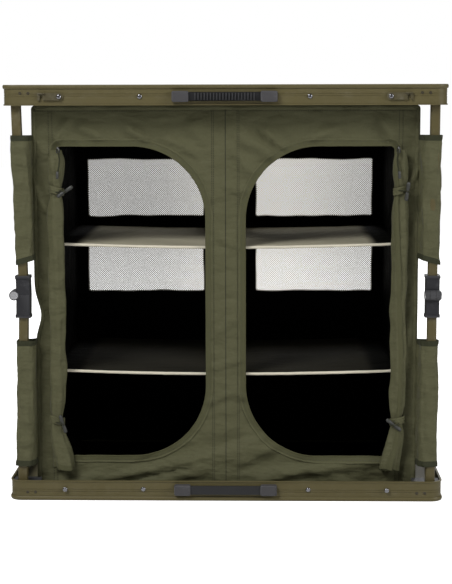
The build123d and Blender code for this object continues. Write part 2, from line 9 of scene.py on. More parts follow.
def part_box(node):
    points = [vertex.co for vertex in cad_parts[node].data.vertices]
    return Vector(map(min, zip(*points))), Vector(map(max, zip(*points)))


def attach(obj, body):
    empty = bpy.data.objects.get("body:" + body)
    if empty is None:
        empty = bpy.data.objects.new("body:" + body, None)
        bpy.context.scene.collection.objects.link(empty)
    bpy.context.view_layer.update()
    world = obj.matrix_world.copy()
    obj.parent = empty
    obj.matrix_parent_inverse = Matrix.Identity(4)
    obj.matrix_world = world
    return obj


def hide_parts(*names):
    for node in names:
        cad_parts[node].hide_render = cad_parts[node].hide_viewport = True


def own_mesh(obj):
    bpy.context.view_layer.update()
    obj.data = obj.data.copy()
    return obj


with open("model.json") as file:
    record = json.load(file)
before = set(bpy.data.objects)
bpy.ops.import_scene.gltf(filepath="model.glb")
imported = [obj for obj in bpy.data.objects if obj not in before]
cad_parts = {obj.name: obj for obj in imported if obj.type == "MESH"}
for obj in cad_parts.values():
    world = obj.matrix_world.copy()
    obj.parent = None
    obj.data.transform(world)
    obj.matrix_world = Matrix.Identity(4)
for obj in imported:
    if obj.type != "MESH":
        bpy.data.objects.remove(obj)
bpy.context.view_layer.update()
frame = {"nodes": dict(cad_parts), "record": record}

# Studio: a pale floor that keeps the cupboard's own shadow, a white surround for the camera, two large
# soft lamps in front and one behind, and the camera where the photograph was taken from.
scene = bpy.context.scene
scene.view_settings.view_transform = "Standard"
camera_data = bpy.data.cameras.new("photo_camera")
camera_data.lens = 94.99
camera_data.sensor_width = 36.0
camera = bpy.data.objects.new("photo_camera", camera_data)
camera.location = (0.049, -2.277, 0.572)
camera.rotation_euler = (math.radians(82.435), math.radians(0.13), math.radians(1.290))
scene.collection.objects.link(camera)
scene.camera = camera


def softbox(name, place, aim, size, watts):
    """A large square area lamp at a place, turned to shine at a point."""
    lamp = bpy.data.lights.new(name, "AREA")
    lamp.shape = "SQUARE"
    lamp.size = size
    lamp.energy = watts
    holder = bpy.data.objects.new(name, lamp)
    holder.location = place
    holder.rotation_euler = (Vector(aim) - Vector(place)).to_track_quat("-Z", "Y").to_euler()
    scene.collection.objects.link(holder)


cabinet_middle = (0.0, 0.0, 0.30)
softbox("key_softbox", (-1.5, -2.1, 2.6), cabinet_middle, 1.2, 76.0)
softbox("side_softbox", (2.5, -1.5, 1.4), cabinet_middle, 1.0, 33.0)
softbox("rear_softbox", (0.4, 2.4, 2.2), cabinet_middle, 1.4, 40.0)


def socket_set(node, **values):
    """Sets plain values on a node's sockets, by name with underscores for spaces."""
    for name, value in values.items():
        node.inputs[name.replace("_", " ")].default_value = value


def feed(tree, node, **values):
    """Links other nodes' outputs to a node's sockets, by name with underscores for spaces."""
    for name, value in values.items():
        tree.links.new(value, node.inputs[name.replace("_", " ")])


def maths(tree, operation, *values, clamp=False):
    """A Math node; each value is a number or another node's output."""
    node = tree.nodes.new("ShaderNodeMath")
    node.operation = operation
    node.use_clamp = clamp
    for place, value in enumerate(values):
        if isinstance(value, (int, float)):
            node.inputs[place].default_value = value
        else:
            tree.links.new(value, node.inputs[place])
    return node.outputs[0]


white = (1.0, 1.0, 1.0, 1.0)
room_light, camera_white = 0.165, 1.0
world = bpy.data.worlds.new("white_studio")
scene.world = world
world.use_nodes = True
sky = world.node_tree
sky.nodes.clear()
ray = sky.nodes.new("ShaderNodeLightPath")
surround = sky.nodes.new("ShaderNodeMixShader")
feed(sky, surround, Fac=maths(
    sky, "MAXIMUM", ray.outputs["Is Camera Ray"], ray.outputs["Is Transmission Ray"]))
for place, strength in ((1, room_light), (2, camera_white)):
    backdrop = sky.nodes.new("ShaderNodeBackground")
    socket_set(backdrop, Color=white, Strength=strength)
    sky.links.new(backdrop.outputs[0], surround.inputs[place])
feed(sky, sky.nodes.new("ShaderNodeOutputWorld"), Surface=surround.outputs[0])


def plain_material(name, colour, roughness, **sockets):
    """A new material with a Principled shader, its nodes handed back for more work."""
    made = bpy.data.materials.new(name)
    made.use_nodes = True
    shader = made.node_tree.nodes["Principled BSDF"]
    socket_set(shader, Base_Color=(*colour, 1.0), Roughness=roughness, **sockets)
    return made, made.node_tree, shader


floor_reach, floor_gap, paper_lift = 9.0, 0.0005, 0.85
floor_mesh = bpy.data.meshes.new("studio_floor")
floor_mesh.from_pydata(
    [(-floor_reach, -floor_reach, 0), (floor_reach, -floor_reach, 0),
     (floor_reach, floor_reach, 0), (-floor_reach, floor_reach, 0)],
    [],
    [(0, 1, 2, 3)],
)
floor = bpy.data.objects.new("studio_floor", floor_mesh)
floor.location.z = -floor_gap
scene.collection.objects.link(floor)
floor_paper, paper_tree, paper_shader = plain_material(
    "floor_paper", (0.86, 0.86, 0.86), 0.9, Emission_Color=white)
paper_ray = paper_tree.nodes.new("ShaderNodeLightPath").outputs["Is Camera Ray"]
feed(paper_tree, paper_shader, Emission_Strength=maths(paper_tree, "MULTIPLY", paper_ray, paper_lift))
floor_mesh.materials.append(floor_paper)


# Frame rails: extruded aluminium bent round the four corners, powder coated in matt olive brown. The
# coat has a fine orange-peel grain and has rubbed lighter along the bead and the lip.
def group(name, inputs, outputs):
    """A new shader node group, with its group input and output nodes. Only Colour is a colour."""
    tree = bpy.data.node_groups.new(name, "ShaderNodeTree")
    kinds = {"Colour": "NodeSocketColor"}
    for label, value in inputs.items():
        made = tree.interface.new_socket(
            label, in_out="INPUT", socket_type=kinds.get(label, "NodeSocketFloat"))
        made.default_value = value
    for label in outputs:
        tree.interface.new_socket(label, in_out="OUTPUT", socket_type=kinds.get(label, "NodeSocketFloat"))
    return tree, tree.nodes.new("NodeGroupInput"), tree.nodes.new("NodeGroupOutput")


def object_place(tree):
    """The point on the object, in metres, as all the patterns here use it."""
    return tree.nodes.new("ShaderNodeTexCoord").outputs["Object"]


def tinted(tree, blend, factor, first, second):
    """A colour Mix node; factor and colours are values or other nodes' outputs."""
    node = tree.nodes.new("ShaderNodeMix")
    node.data_type = "RGBA"
    node.blend_type = blend
    node.clamp_factor = True
    for socket, value in zip((node.inputs[0], node.inputs[6], node.inputs[7]), (factor, first, second)):
        if isinstance(value, bpy.types.NodeSocket):
            tree.links.new(value, socket)
        else:
            socket.default_value = value
    return node.outputs[2]


def ramp(tree, value, low, high, kind="LINEAR", **ends):
    """A value spread from 0 at low to 1 at high, or between other ends."""
    node = tree.nodes.new("ShaderNodeMapRange")
    node.interpolation_type = kind
    feed(tree, node, Value=value)
    socket_set(node, From_Min=low, From_Max=high, **ends)
    return node.outputs["Result"]


def noise_mask(tree, where, scale, detail, low, high, roughness=0.55):
    """Noise at a scale in cycles a metre, spread from 0 at low to 1 at high."""
    node = tree.nodes.new("ShaderNodeTexNoise")
    feed(tree, node, Vector=where)
    socket_set(node, Scale=scale, Detail=detail, Roughness=roughness)
    return ramp(tree, node.outputs["Fac"], low, high)


undyed = (0.1, 0.1, 0.1, 1.0)
surface_outputs = ("Colour", "Roughness", "Height")
worn_from, worn_slope, worn_paint, peel_depth = 0.56, 4.0, (0.33, 0.31, 0.24, 1.0), 0.000025
coat, coat_in, coat_out = group(
    "powder_coat", {"Colour": undyed, "Wear": 0.5, "Grain": 1.0, "Shine": 0.45}, surface_outputs)
coat_place = object_place(coat)
peel = noise_mask(coat, coat_place, 1500.0, 2.0, 0.3, 0.7)
cloudy = noise_mask(coat, coat_place, 14.0, 4.0, 0.3, 0.7)
rubbed = noise_mask(coat, coat_place, 90.0, 5.0, 0.45, 0.75)
coat_bend = coat.nodes.new("ShaderNodeNewGeometry").outputs["Pointiness"]
coat_edge = maths(coat, "MULTIPLY", maths(coat, "SUBTRACT", coat_bend, worn_from), worn_slope)
rubbed_share = maths(coat, "MULTIPLY", rubbed, coat_in.outputs["Wear"])
toned = tinted(
    coat, "MULTIPLY", maths(coat, "MULTIPLY", cloudy, 0.22), coat_in.outputs["Colour"],
    (0.80, 0.79, 0.76, 1.0))
speckled = tinted(
    coat, "MULTIPLY", maths(coat, "MULTIPLY", peel, 0.22), toned, (0.72, 0.72, 0.70, 1.0))
feed(
    coat, coat_out,
    Colour=tinted(
        coat, "MIX", maths(coat, "MULTIPLY", coat_edge, rubbed_share, clamp=True), speckled, worn_paint),
    Roughness=maths(coat, "ADD", coat_in.outputs["Shine"], maths(coat, "MULTIPLY", cloudy, 0.10)),
    Height=maths(coat, "MULTIPLY", peel, maths(coat, "MULTIPLY", coat_in.outputs["Grain"], peel_depth)),
)


def finish(name, effect, colour, shader_values=(), **values):
    """A material whose colour, roughness and relief come from an effect group."""
    made, tree, shader = plain_material(name, colour, 0.5, **dict(shader_values))
    surface = tree.nodes.new("ShaderNodeGroup")
    surface.node_tree = effect
    socket_set(surface, Colour=(*colour, 1.0), **values)
    relief = tree.nodes.new("ShaderNodeBump")
    socket_set(relief, Strength=1.0, Distance=1.0)
    feed(tree, relief, Height=surface.outputs["Height"])
    feed(
        tree, shader, Base_Color=surface.outputs["Colour"], Roughness=surface.outputs["Roughness"],
        Normal=relief.outputs["Normal"])
    return made


def dress(material, *nodes):
    """Gives CAD nodes a finished material."""
    for node in nodes:
        made = frame["nodes"][node].data.materials
        made.clear()
        made.append(material)


painted = {"Specular IOR Level": 0.32}
rail_paint = finish(
    "rail_paint", coat, (0.108, 0.090, 0.036), painted, Wear=0.35, Grain=1.0, Shine=0.42)
dress(rail_paint, "base_rail", "top_rail")

# Boards: thin sheets in nearly the rail's olive brown, pressed into the rails. Their face has a faint
# leather-like grain, rolled into the sheet before it was painted.
board_paint = finish("board_paint", coat, (0.120, 0.104, 0.052), Wear=0.2, Grain=3.0, Shine=0.5)
dress(board_paint, "base_panel", "top_panel")

# Rivets, screws and pins: the rivets are painted with the rail. The domed screws, the latches' screws
# and the legs' pins are bright steel, hazed by fine scratches and smears.
rivet_paint = finish(
    "rivet_paint", coat, (0.050, 0.042, 0.026), painted, Wear=0.9, Grain=0.6, Shine=0.35)
dress(rivet_paint, "base_rivets", "top_rivets")

scratch_depth = 0.000008
steel, steel_in, steel_out = group(
    "bright_steel", {"Colour": (0.6, 0.6, 0.6, 1.0), "Haze": 0.2}, surface_outputs)
steel_place = object_place(steel)
smear = noise_mask(steel, steel_place, 260.0, 4.0, 0.3, 0.75)
scratch = noise_mask(steel, steel_place, 2400.0, 2.0, 0.35, 0.65)
feed(
    steel, steel_out,
    Colour=tinted(
        steel, "MULTIPLY", maths(steel, "MULTIPLY", smear, 0.5), steel_in.outputs["Colour"],
        (0.62, 0.60, 0.58, 1.0)),
    Roughness=maths(steel, "ADD", steel_in.outputs["Haze"], maths(steel, "MULTIPLY", smear, 0.18)),
    Height=maths(steel, "MULTIPLY", scratch, scratch_depth),
)
metal = {"Metallic": 1.0}
screw_chrome = finish("screw_chrome", steel, (0.32, 0.32, 0.34), metal, Haze=0.08)
pin_steel = finish("pin_steel", steel, (0.58, 0.58, 0.60), metal, Haze=0.22)
dress(screw_chrome, "base_screws", "top_screws", "latch_screws")
dress(pin_steel, "base_leg_pins", "top_leg_pins")

# Latches: hooked plates of painted steel, each on a shouldered screw near an end of the top rail. Their
# paint is worn at the edges, where they slip over their pegs.
latch_paint = finish(
    "latch_paint", coat, (0.080, 0.068, 0.034), painted, Wear=1.0, Grain=0.8, Shine=0.38)
dress(latch_paint, "left_latch", "right_latch")

# Corner blocks: black nylon mouldings that hold the feet and heads of the legs. Their faces have a fine
# spark-eroded grain, with paler scuffs and rubbed edges.
scuffed_from, scuffed_slope, scuffed_nylon, pit_depth = 0.52, 1.6, (0.22, 0.22, 0.225, 1.0), 0.00003
grain, grain_in, grain_out = group(
    "moulded_grain", {"Colour": (0.05, 0.05, 0.05, 1.0), "Pit": 1.0, "Shine": 0.45}, surface_outputs)
grain_place = object_place(grain)
pits = noise_mask(grain, grain_place, 1900.0, 3.0, 0.3, 0.7)
scuffs = noise_mask(grain, grain_place, 55.0, 6.0, 0.56, 0.8, 0.7)
grain_bend = grain.nodes.new("ShaderNodeNewGeometry").outputs["Pointiness"]
grain_edge = maths(
    grain, "MULTIPLY", maths(grain, "SUBTRACT", grain_bend, scuffed_from), scuffed_slope, clamp=True)
pale = maths(grain, "MAXIMUM", maths(grain, "MULTIPLY", scuffs, 0.25), grain_edge)
feed(
    grain, grain_out,
    Colour=tinted(grain, "MIX", pale, grain_in.outputs["Colour"], scuffed_nylon),
    Roughness=maths(grain, "ADD", grain_in.outputs["Shine"], maths(grain, "MULTIPLY", pits, 0.12)),
    Height=maths(grain, "MULTIPLY", pits, maths(grain, "MULTIPLY", grain_in.outputs["Pit"], pit_depth)),
)
soft_gloss = {"Specular IOR Level": 0.30}
block_plastic = finish(
    "block_plastic", grain, (0.045, 0.045, 0.047), soft_gloss, Pit=1.0, Shine=0.42)
dress(block_plastic, "base_corner_blocks", "top_corner_blocks")

# Carry handles: grey nylon end caps on the rails and a black rubber strap that slides in them, dull and
# a little dusty.
cap_plastic = finish("cap_plastic", grain, (0.060, 0.058, 0.061), soft_gloss, Pit=1.4, Shine=0.40)
strap_rubber = finish(
    "strap_rubber", grain, (0.004, 0.004, 0.0045), {"Specular IOR Level": 0.10}, Pit=0.8, Shine=0.50)
dress(cap_plastic, "base_handle_caps", "top_handle_caps")
dress(strap_rubber, "base_handle_strap", "top_handle_strap")

# Legs: square aluminium tubes in the rail's paint, a little darker, with moulded nylon knuckles and
# turned steel knee pins. Each corner has its side in x and y, and the way its knee folds.
tube_paint = finish("tube_paint", coat, (0.098, 0.080, 0.032), painted, Wear=0.6, Grain=0.8, Shine=0.38)
knuckle_plastic = finish(
    "knuckle_plastic", grain, (0.022, 0.022, 0.025), soft_gloss, Pit=1.0, Shine=0.34)
corners = {
    "front_left": (-1, -1, Vector((1, 0, 0))),
    "front_right": (1, -1, Vector((0, 1, 0))),
    "rear_right": (1, 1, Vector((-1, 0, 0))),
    "rear_left": (-1, 1, Vector((0, -1, 0))),
}
for corner in corners:
    dress(tube_paint, f"{corner}_lower_tube", f"{corner}_upper_tube")
    dress(knuckle_plastic, f"{corner}_lower_knuckle", f"{corner}_upper_knuckle")
    dress(pin_steel, f"{corner}_knee_pin")

# Cloth: a plain-woven polyester, olive outside and black inside. Threads are half a millimetre apart,
# the dye is a little uneven, and the cloth keeps fine soft creases from being folded in its case.
thread_gap, thread_depth, soft_crease, sharp_crease = 0.0006, 0.00004, 0.0042, 0.0006
weave, weave_in, weave_out = group(
    "plain_weave", {"Colour": undyed, "Thread": thread_gap, "Crease": 1.0}, surface_outputs)
weave_place = object_place(weave)
axes = weave.nodes.new("ShaderNodeSeparateXYZ")
feed(weave, axes, Vector=weave_place)
turns_per_thread = maths(weave, "DIVIDE", math.pi, weave_in.outputs["Thread"])
warp = maths(weave, "SINE", maths(
    weave, "MULTIPLY", maths(weave, "SUBTRACT", axes.outputs[0], axes.outputs[1]), turns_per_thread))
weft = maths(weave, "SINE", maths(
    weave, "MULTIPLY", maths(weave, "ADD", axes.outputs[2], axes.outputs[1]), turns_per_thread))
threads = maths(weave, "MULTIPLY", warp, weft)
slubs = noise_mask(weave, weave_place, 420.0, 3.0, 0.3, 0.7)
faded = noise_mask(weave, weave_place, 9.0, 4.0, 0.3, 0.7)
slanted = weave.nodes.new("ShaderNodeMapping")
feed(weave, slanted, Vector=weave_place)
socket_set(slanted, Rotation=(0.0, math.radians(-28.0), 0.0), Scale=(0.45, 1.0, 1.0))
soft = noise_mask(weave, slanted.outputs["Vector"], 46.0, 3.0, 0.25, 0.75, 0.45)
sharp = weave.nodes.new("ShaderNodeTexNoise")
sharp.noise_type = "RIDGED_MULTIFRACTAL"
feed(weave, sharp, Vector=slanted.outputs["Vector"])
socket_set(sharp, Scale=30.0, Detail=2.0)
shaded = tinted(
    weave, "MULTIPLY", maths(weave, "MULTIPLY", faded, 0.35), weave_in.outputs["Colour"],
    (0.80, 0.81, 0.78, 1.0))
mottled = tinted(
    weave, "MULTIPLY", maths(weave, "MULTIPLY", slubs, 0.25), shaded, (0.74, 0.74, 0.72, 1.0))
creased = maths(weave, "MULTIPLY", weave_in.outputs["Crease"], maths(
    weave, "ADD", maths(weave, "MULTIPLY", soft, soft_crease),
    maths(weave, "MULTIPLY", sharp.outputs["Fac"], sharp_crease)))
feed(
    weave, weave_out,
    Colour=tinted(
        weave, "MULTIPLY", maths(weave, "MULTIPLY_ADD", threads, 0.12, 0.12), mottled,
        (0.62, 0.62, 0.60, 1.0)),
    Roughness=maths(weave, "MULTIPLY_ADD", slubs, 0.12, 0.66),
    Height=maths(weave, "ADD", creased, maths(weave, "MULTIPLY", threads, thread_depth)),
)
sheen = {"Sheen Weight": 0.05, "Sheen Roughness": 0.4, "Specular IOR Level": 0.22}
matt = {"Specular IOR Level": 0.04}
cloth_olive = (0.101, 0.099, 0.050)
lining_black = (0.0016, 0.0016, 0.0016)
outer_cloth = finish("outer_cloth", weave, cloth_olive, sheen, Thread=thread_gap, Crease=1.0)
lining_cloth = finish("lining_cloth", weave, lining_black, matt, Thread=thread_gap, Crease=0.8)

# Webbing, tapes and trim: closer or coarser weaves of the same yarn, and the plastics and blackened
# metal of toggles and zips, in the colours of the photograph.
webbing = finish("webbing", weave, (0.034, 0.036, 0.017), sheen, Thread=0.0011, Crease=0.3)
strap_webbing = finish("strap_webbing", weave, (0.085, 0.086, 0.080), sheen, Thread=0.0010, Crease=0.3)
zip_tape = finish("zip_tape", weave, (0.084, 0.083, 0.039), sheen, Thread=0.0005, Crease=0.2)
zip_coil = finish("zip_coil", grain, (0.042, 0.042, 0.022), Pit=6.0, Shine=0.45)
cream_webbing = finish("cream_webbing", weave, (0.74, 0.69, 0.56), sheen, Thread=0.0012, Crease=0.2)
toggle_plastic = finish("toggle_plastic", grain, (0.026, 0.027, 0.022), Pit=0.8, Shine=0.36)
zip_metal = finish("zip_metal", steel, (0.09, 0.09, 0.09), metal, Haze=0.30)

# Stitching: the front's cloth carries its own rows of stitches, short dark dashes in a shallow groove,
# beside the middle seam, down both sides and along the hem.
stitch_pitch, stitch_gap, stitch_height, groove_depth = 0.0032, 0.28, 0.00028, 0.00035
stitch_half_width, groove_half_width, seam_half_width, hem_half_width = 0.00042, 0.0009, 0.0006, 0.0004
stitch_rows_x, stitch_hem_z = (0.0163, 0.0188, 0.2385, 0.2435), 0.5400
stitch_share, seam_share, thread_dark = 0.62, 0.75, (0.014, 0.014, 0.009, 1.0)
stitching, stitch_in, stitch_out = group(
    "stitch_rows", {"Colour": undyed, "Height": 0.0, "Pitch": stitch_pitch}, ("Colour", "Height"))
stitch_axes = stitching.nodes.new("ShaderNodeSeparateXYZ")
feed(stitching, stitch_axes, Vector=object_place(stitching))
across_panel = maths(stitching, "ABSOLUTE", stitch_axes.outputs[0])


def near_line(value, line):
    """How far a value is from a line's, either way."""
    return maths(stitching, "ABSOLUTE", maths(stitching, "SUBTRACT", value, line))


def dashes(value):
    """1 on each stitch and 0 in the gaps between them, along a row."""
    count = maths(stitching, "DIVIDE", value, stitch_in.outputs["Pitch"])
    return maths(stitching, "GREATER_THAN", maths(stitching, "FRACT", count), stitch_gap)


nearness = near_line(across_panel, stitch_rows_x[0])
for row_x in stitch_rows_x[1:]:
    nearness = maths(stitching, "MINIMUM", nearness, near_line(across_panel, row_x))
in_row = maths(stitching, "LESS_THAN", nearness, stitch_half_width)
in_groove = maths(stitching, "LESS_THAN", nearness, groove_half_width)
in_seam = maths(stitching, "LESS_THAN", across_panel, seam_half_width)
in_hem = maths(stitching, "LESS_THAN", near_line(stitch_axes.outputs[2], stitch_hem_z), hem_half_width)
thread = maths(
    stitching, "MAXIMUM",
    maths(stitching, "MULTIPLY", in_row, dashes(stitch_axes.outputs[2])),
    maths(stitching, "MULTIPLY", in_hem, dashes(stitch_axes.outputs[0])))
dark_line = maths(
    stitching, "MAXIMUM", maths(stitching, "MULTIPLY", thread, stitch_share),
    maths(stitching, "MULTIPLY", in_seam, seam_share))
sunk = maths(stitching, "MULTIPLY", maths(stitching, "MAXIMUM", in_groove, in_seam), -groove_depth)
raised = maths(stitching, "MULTIPLY", thread, stitch_height)
feed(
    stitching, stitch_out,
    Colour=tinted(stitching, "MIX", dark_line, stitch_in.outputs["Colour"], thread_dark),
    Height=maths(stitching, "ADD", stitch_in.outputs["Height"], maths(stitching, "ADD", sunk, raised)),
)


def overlay(material, effect):
    """Sends a finished material's colour, and its height if the effect takes it, through an effect."""
    tree = material.node_tree
    added = tree.nodes.new("ShaderNodeGroup")
    added.node_tree = effect
    ends = (("Colour", "Principled BSDF", "Base Color"), ("Height", "Bump", "Height"))
    for label, node, socket in ends:
        if label in added.inputs:
            tree.links.new(tree.nodes["Group"].outputs[label], added.inputs[label])
            tree.links.new(added.outputs[label], tree.nodes[node].inputs[socket])


panel_cloth = finish("panel_cloth", weave, cloth_olive, sheen, Thread=thread_gap, Crease=1.0)
overlay(panel_cloth, stitching)

# Net: pale threads with round holes in staggered rows, cut out of the sheet as transparency. The threads
# carry a painted glow, an emission that stands in for daylight shining through them from behind,
# brightest near the middle of the cabinet.
hole_level, net_depth, net_pitch = 0.26, 0.0002, 0.0030
# Painted glow: where it is brightest in x, and its strength at the windows' ends and in the middle
painted_glow_peak_x, painted_glow_edge, painted_glow_middle = 0.065, 0.09, 0.38
net, net_in, net_out = group("net_holes_painted_glow", {"Pitch": net_pitch}, ("Hole", "Height", "Glow"))
net_axes = net.nodes.new("ShaderNodeSeparateXYZ")
feed(net, net_axes, Vector=object_place(net))
per_pitch = maths(net, "DIVIDE", math.tau, net_in.outputs["Pitch"])
wave_x = maths(net, "COSINE", maths(net, "MULTIPLY", net_axes.outputs[0], per_pitch))
wave_z = maths(net, "COSINE", maths(net, "MULTIPLY", net_axes.outputs[2], per_pitch))
lattice = maths(net, "MULTIPLY", wave_x, wave_z)
from_painted_glow_peak = maths(net, "ABSOLUTE", maths(net, "SUBTRACT", net_axes.outputs[0], painted_glow_peak_x))
feed(
    net, net_out,
    Hole=maths(net, "GREATER_THAN", lattice, hole_level),
    Height=maths(net, "MULTIPLY", lattice, -net_depth),
    Glow=ramp(net, from_painted_glow_peak, 0.20, 0.01, "SMOOTHSTEP", To_Min=painted_glow_edge, To_Max=painted_glow_middle),
)
# The warm emission is painted light, the glow of daylight through the threads, not a lamp.
window_mesh, mesh_tree, mesh_shader = plain_material(
    "window_mesh", (0.42, 0.39, 0.32), 0.6, Emission_Color=(1.0, 0.95, 0.84, 1.0))
window_mesh.surface_render_method = "DITHERED"
mesh_holes = mesh_tree.nodes.new("ShaderNodeGroup")
mesh_holes.node_tree = net
mesh_relief = mesh_tree.nodes.new("ShaderNodeBump")
socket_set(mesh_relief, Strength=1.0, Distance=1.0)
feed(mesh_tree, mesh_relief, Height=mesh_holes.outputs["Height"])
feed(
    mesh_tree, mesh_shader, Normal=mesh_relief.outputs["Normal"],
    Alpha=maths(mesh_tree, "SUBTRACT", 1.0, mesh_holes.outputs["Hole"]),
    Emission_Strength=mesh_holes.outputs["Glow"])

# Shelf cover: the lining's black cloth over stiff boards. The upper board's cover carries a painted pool
# of light in olive grey between the side walls, standing in for light falling on it through the windows;
# the lower one's carries hardly any.
painted_light_grey, painted_light_edge, painted_light_middle = (0.42, 0.39, 0.29, 1.0), 0.213, 0.196
between_shelves, lower_painted_light, upper_painted_light = 0.27, 0.05, 0.85
cover, cover_in, cover_out = group("board_painted_light", {"Colour": undyed}, ("Colour",))
cover_axes = cover.nodes.new("ShaderNodeSeparateXYZ")
feed(cover, cover_axes, Vector=object_place(cover))
from_middle = ramp(
    cover, maths(cover, "ABSOLUTE", cover_axes.outputs[0]), painted_light_edge, painted_light_middle, "SMOOTHSTEP")
upper_board = maths(cover, "GREATER_THAN", cover_axes.outputs[2], between_shelves)
painted_light_share = maths(
    cover, "MULTIPLY", from_middle, maths(cover, "MULTIPLY_ADD", upper_board, upper_painted_light, lower_painted_light))
feed(cover, cover_out, Colour=tinted(cover, "MIX", painted_light_share, cover_in.outputs["Colour"], painted_light_grey))
shelf_cover = finish("shelf_cover", weave, (0.002, 0.002, 0.0015), matt, Thread=thread_gap, Crease=0.4)
# The overlay paints that pool of light on to the shelf cover.
overlay(shelf_cover, cover)


# Cabinet front: one cloth panel hung between the frames, with a D-shaped doorway each side of a middle
# strip. It is pulled at its corners, so soft folds run down from the top and along the bottom.
def cloth_piece(name, points, faces, *materials, thickness=0.0, paints=()):
    """A new object from points and faces, shaded smooth, with an inner skin if it has a thickness."""
    mesh = bpy.data.meshes.new(name)
    mesh.from_pydata([tuple(p) for p in points], [], faces)
    for material in materials:
        mesh.materials.append(material)
    mesh.polygons.foreach_set("use_smooth", [True] * len(mesh.polygons))
    if paints:
        mesh.polygons.foreach_set("material_index", paints)
    mesh.update()
    piece = bpy.data.objects.new(name, mesh)
    scene.collection.objects.link(piece)
    if thickness:
        solid = piece.modifiers.new("cloth_thickness", "SOLIDIFY")
        solid.thickness = thickness
        solid.offset = -1.0
        solid.material_offset = len(materials) - 1
        solid.material_offset_rim = 0
    return piece


def settle(piece, body, nodes):
    """Puts a finished piece in place of CAD nodes, on their body."""
    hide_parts(*nodes)
    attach(piece, body)
    return piece


def grid_faces(rows, count, start=0, closed=True, turned_over=False):
    """Quads between rows of count points; a closed row is joined round into a ring."""
    faces = []
    for row in range(rows):
        for k in range(count if closed else count - 1):
            here, there = start + row * count + k, start + row * count + (k + 1) % count
            quad = (here, there, there + count, here + count)
            faces.append((quad[0], *quad[:0:-1]) if turned_over else quad)
    return faces


front_low, front_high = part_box("cabinet_front")
zips_low, zips_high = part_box("door_zips")
zip_band = 0.007
cloth_thickness = front_high.y - front_low.y
door_inner_edge, door_outer_edge = 0.0275, zips_high.x - zip_band
door_sill, door_head = zips_low.z + zip_band, zips_high.z - zip_band
door_inner_radius, door_outer_radius = 0.101, 0.006
seam_x = 0.241
fold_gain, deepest_fold, highest_fold = 4.0, -0.0050, 0.0066

# Folds of the front, read from the photograph: from and to in x and z, half width, and height in mm
front_folds = (
    (-220, 521, -234, 498, 4, 1.5), (-200, 517, -172, 507, 7, 2.0), (-137, 519, -111, 503, 5, 2.2),
    (-123, 522, -96, 502, 5, -2.2), (-80, 503, -45, 481, 6, 1.6), (-65, 491, -44, 475, 4, -1.2),
    (-47, 519, 1, 486, 10, 1.8), (-258, 522, -245, 514, 3, 1.2), (8, 517, 65, 479, 9, 2.0),
    (53, 514, 80, 491, 5, 1.8), (45, 508, 70, 488, 4, -1.5), (150, 515, 118, 503, 6, 1.6),
    (210, 532, 228, 502, 6, 1.8), (196, 522, 221, 498, 6, -1.6), (247, 518, 262, 527, 3, 1.2),
    (2, 496, 32, 459, 6, 1.5), (2, 437, 25, 430, 5, 1.2), (-18, 367, -3, 352, 3, -1.3),
    (0, 359, 16, 352, 3, 1.2), (-8, 235, 14, 252, 3, 1.4), (-18, 219, -3, 207, 3, -1.3),
    (-15, 184, 17, 192, 4, 1.2), (-20, 134, 10, 149, 4, 1.8), (10, 149, 24, 139, 4, 1.6),
    (-49, 63, 22, 86, 6, -2.0), (-3, 53, 49, 79, 7, 2.0), (-198, 20, -20, 57, 9, 3.2),
    (-165, 29, -40, 63, 7, -2.6), (-120, 14, 0, 45, 8, 2.4), (-150, 18, -50, 40, 5, -1.6),
    (14, 18, 215, 44, 9, 3.4), (80, 22, 215, 42, 6, -2.8), (5, 42, 60, 66, 8, 2.0),
    (-25, 36, -5, 24, 3, 1.1), (252, 436, 264, 459, 4, 1.6), (253, 378, 264, 417, 5, -1.8),
    (-262, 440, -246, 400, 5, 1.5), (-255, 300, -248, 250, 5, -1.4), (255, 240, 250, 180, 5, 1.4),
)


def peak(value, middle, width, power=2):
    """1 at the middle, falling softly to nothing some two widths away."""
    return math.exp(-(((value - middle) / width) ** power))


def fold_height(folds, x, z):
    """The sum of soft ridges and hollows at a point, each fading out at its ends."""
    total = 0.0
    for x0, z0, x1, z1, half_width, height in folds:
        run_x, run_z = x1 - x0, z1 - z0
        length_2 = run_x * run_x + run_z * run_z
        along = ((x - x0) * run_x + (z - z0) * run_z) / length_2
        if -0.6 < along < 1.6:
            across = ((x - x0) * run_z - (z - z0) * run_x) / math.sqrt(length_2)
            if abs(across) < 4 * half_width:
                ends = peak(max(0.0, abs(along - 0.5) - 0.35), 0.0, 0.3)
                total += height * ends * peak(across, 0.0, half_width)
    return max(deepest_fold, min(highest_fold, total * fold_gain / 1000))


broad_sway, small_sway, gather_height = 0.0024, 0.0015, 0.0062
seam_ridge, seam_pucker, seam_width, hem_ridge = 0.0008, 0.0011, 0.007, 0.0007
most_at_middle, more_beside, middle_half = 0.0034, 0.0040, 0.05

# The cloth stays before the painted shade band at its hem, and before the webbing ties behind its corners
painted_shade_band_from, corner_from_x, corner_low, corner_high = 0.526, 0.247, 0.055, 0.505
least_proud, hem_proud, corner_proud = -0.0026, 0.0006, 0.0022


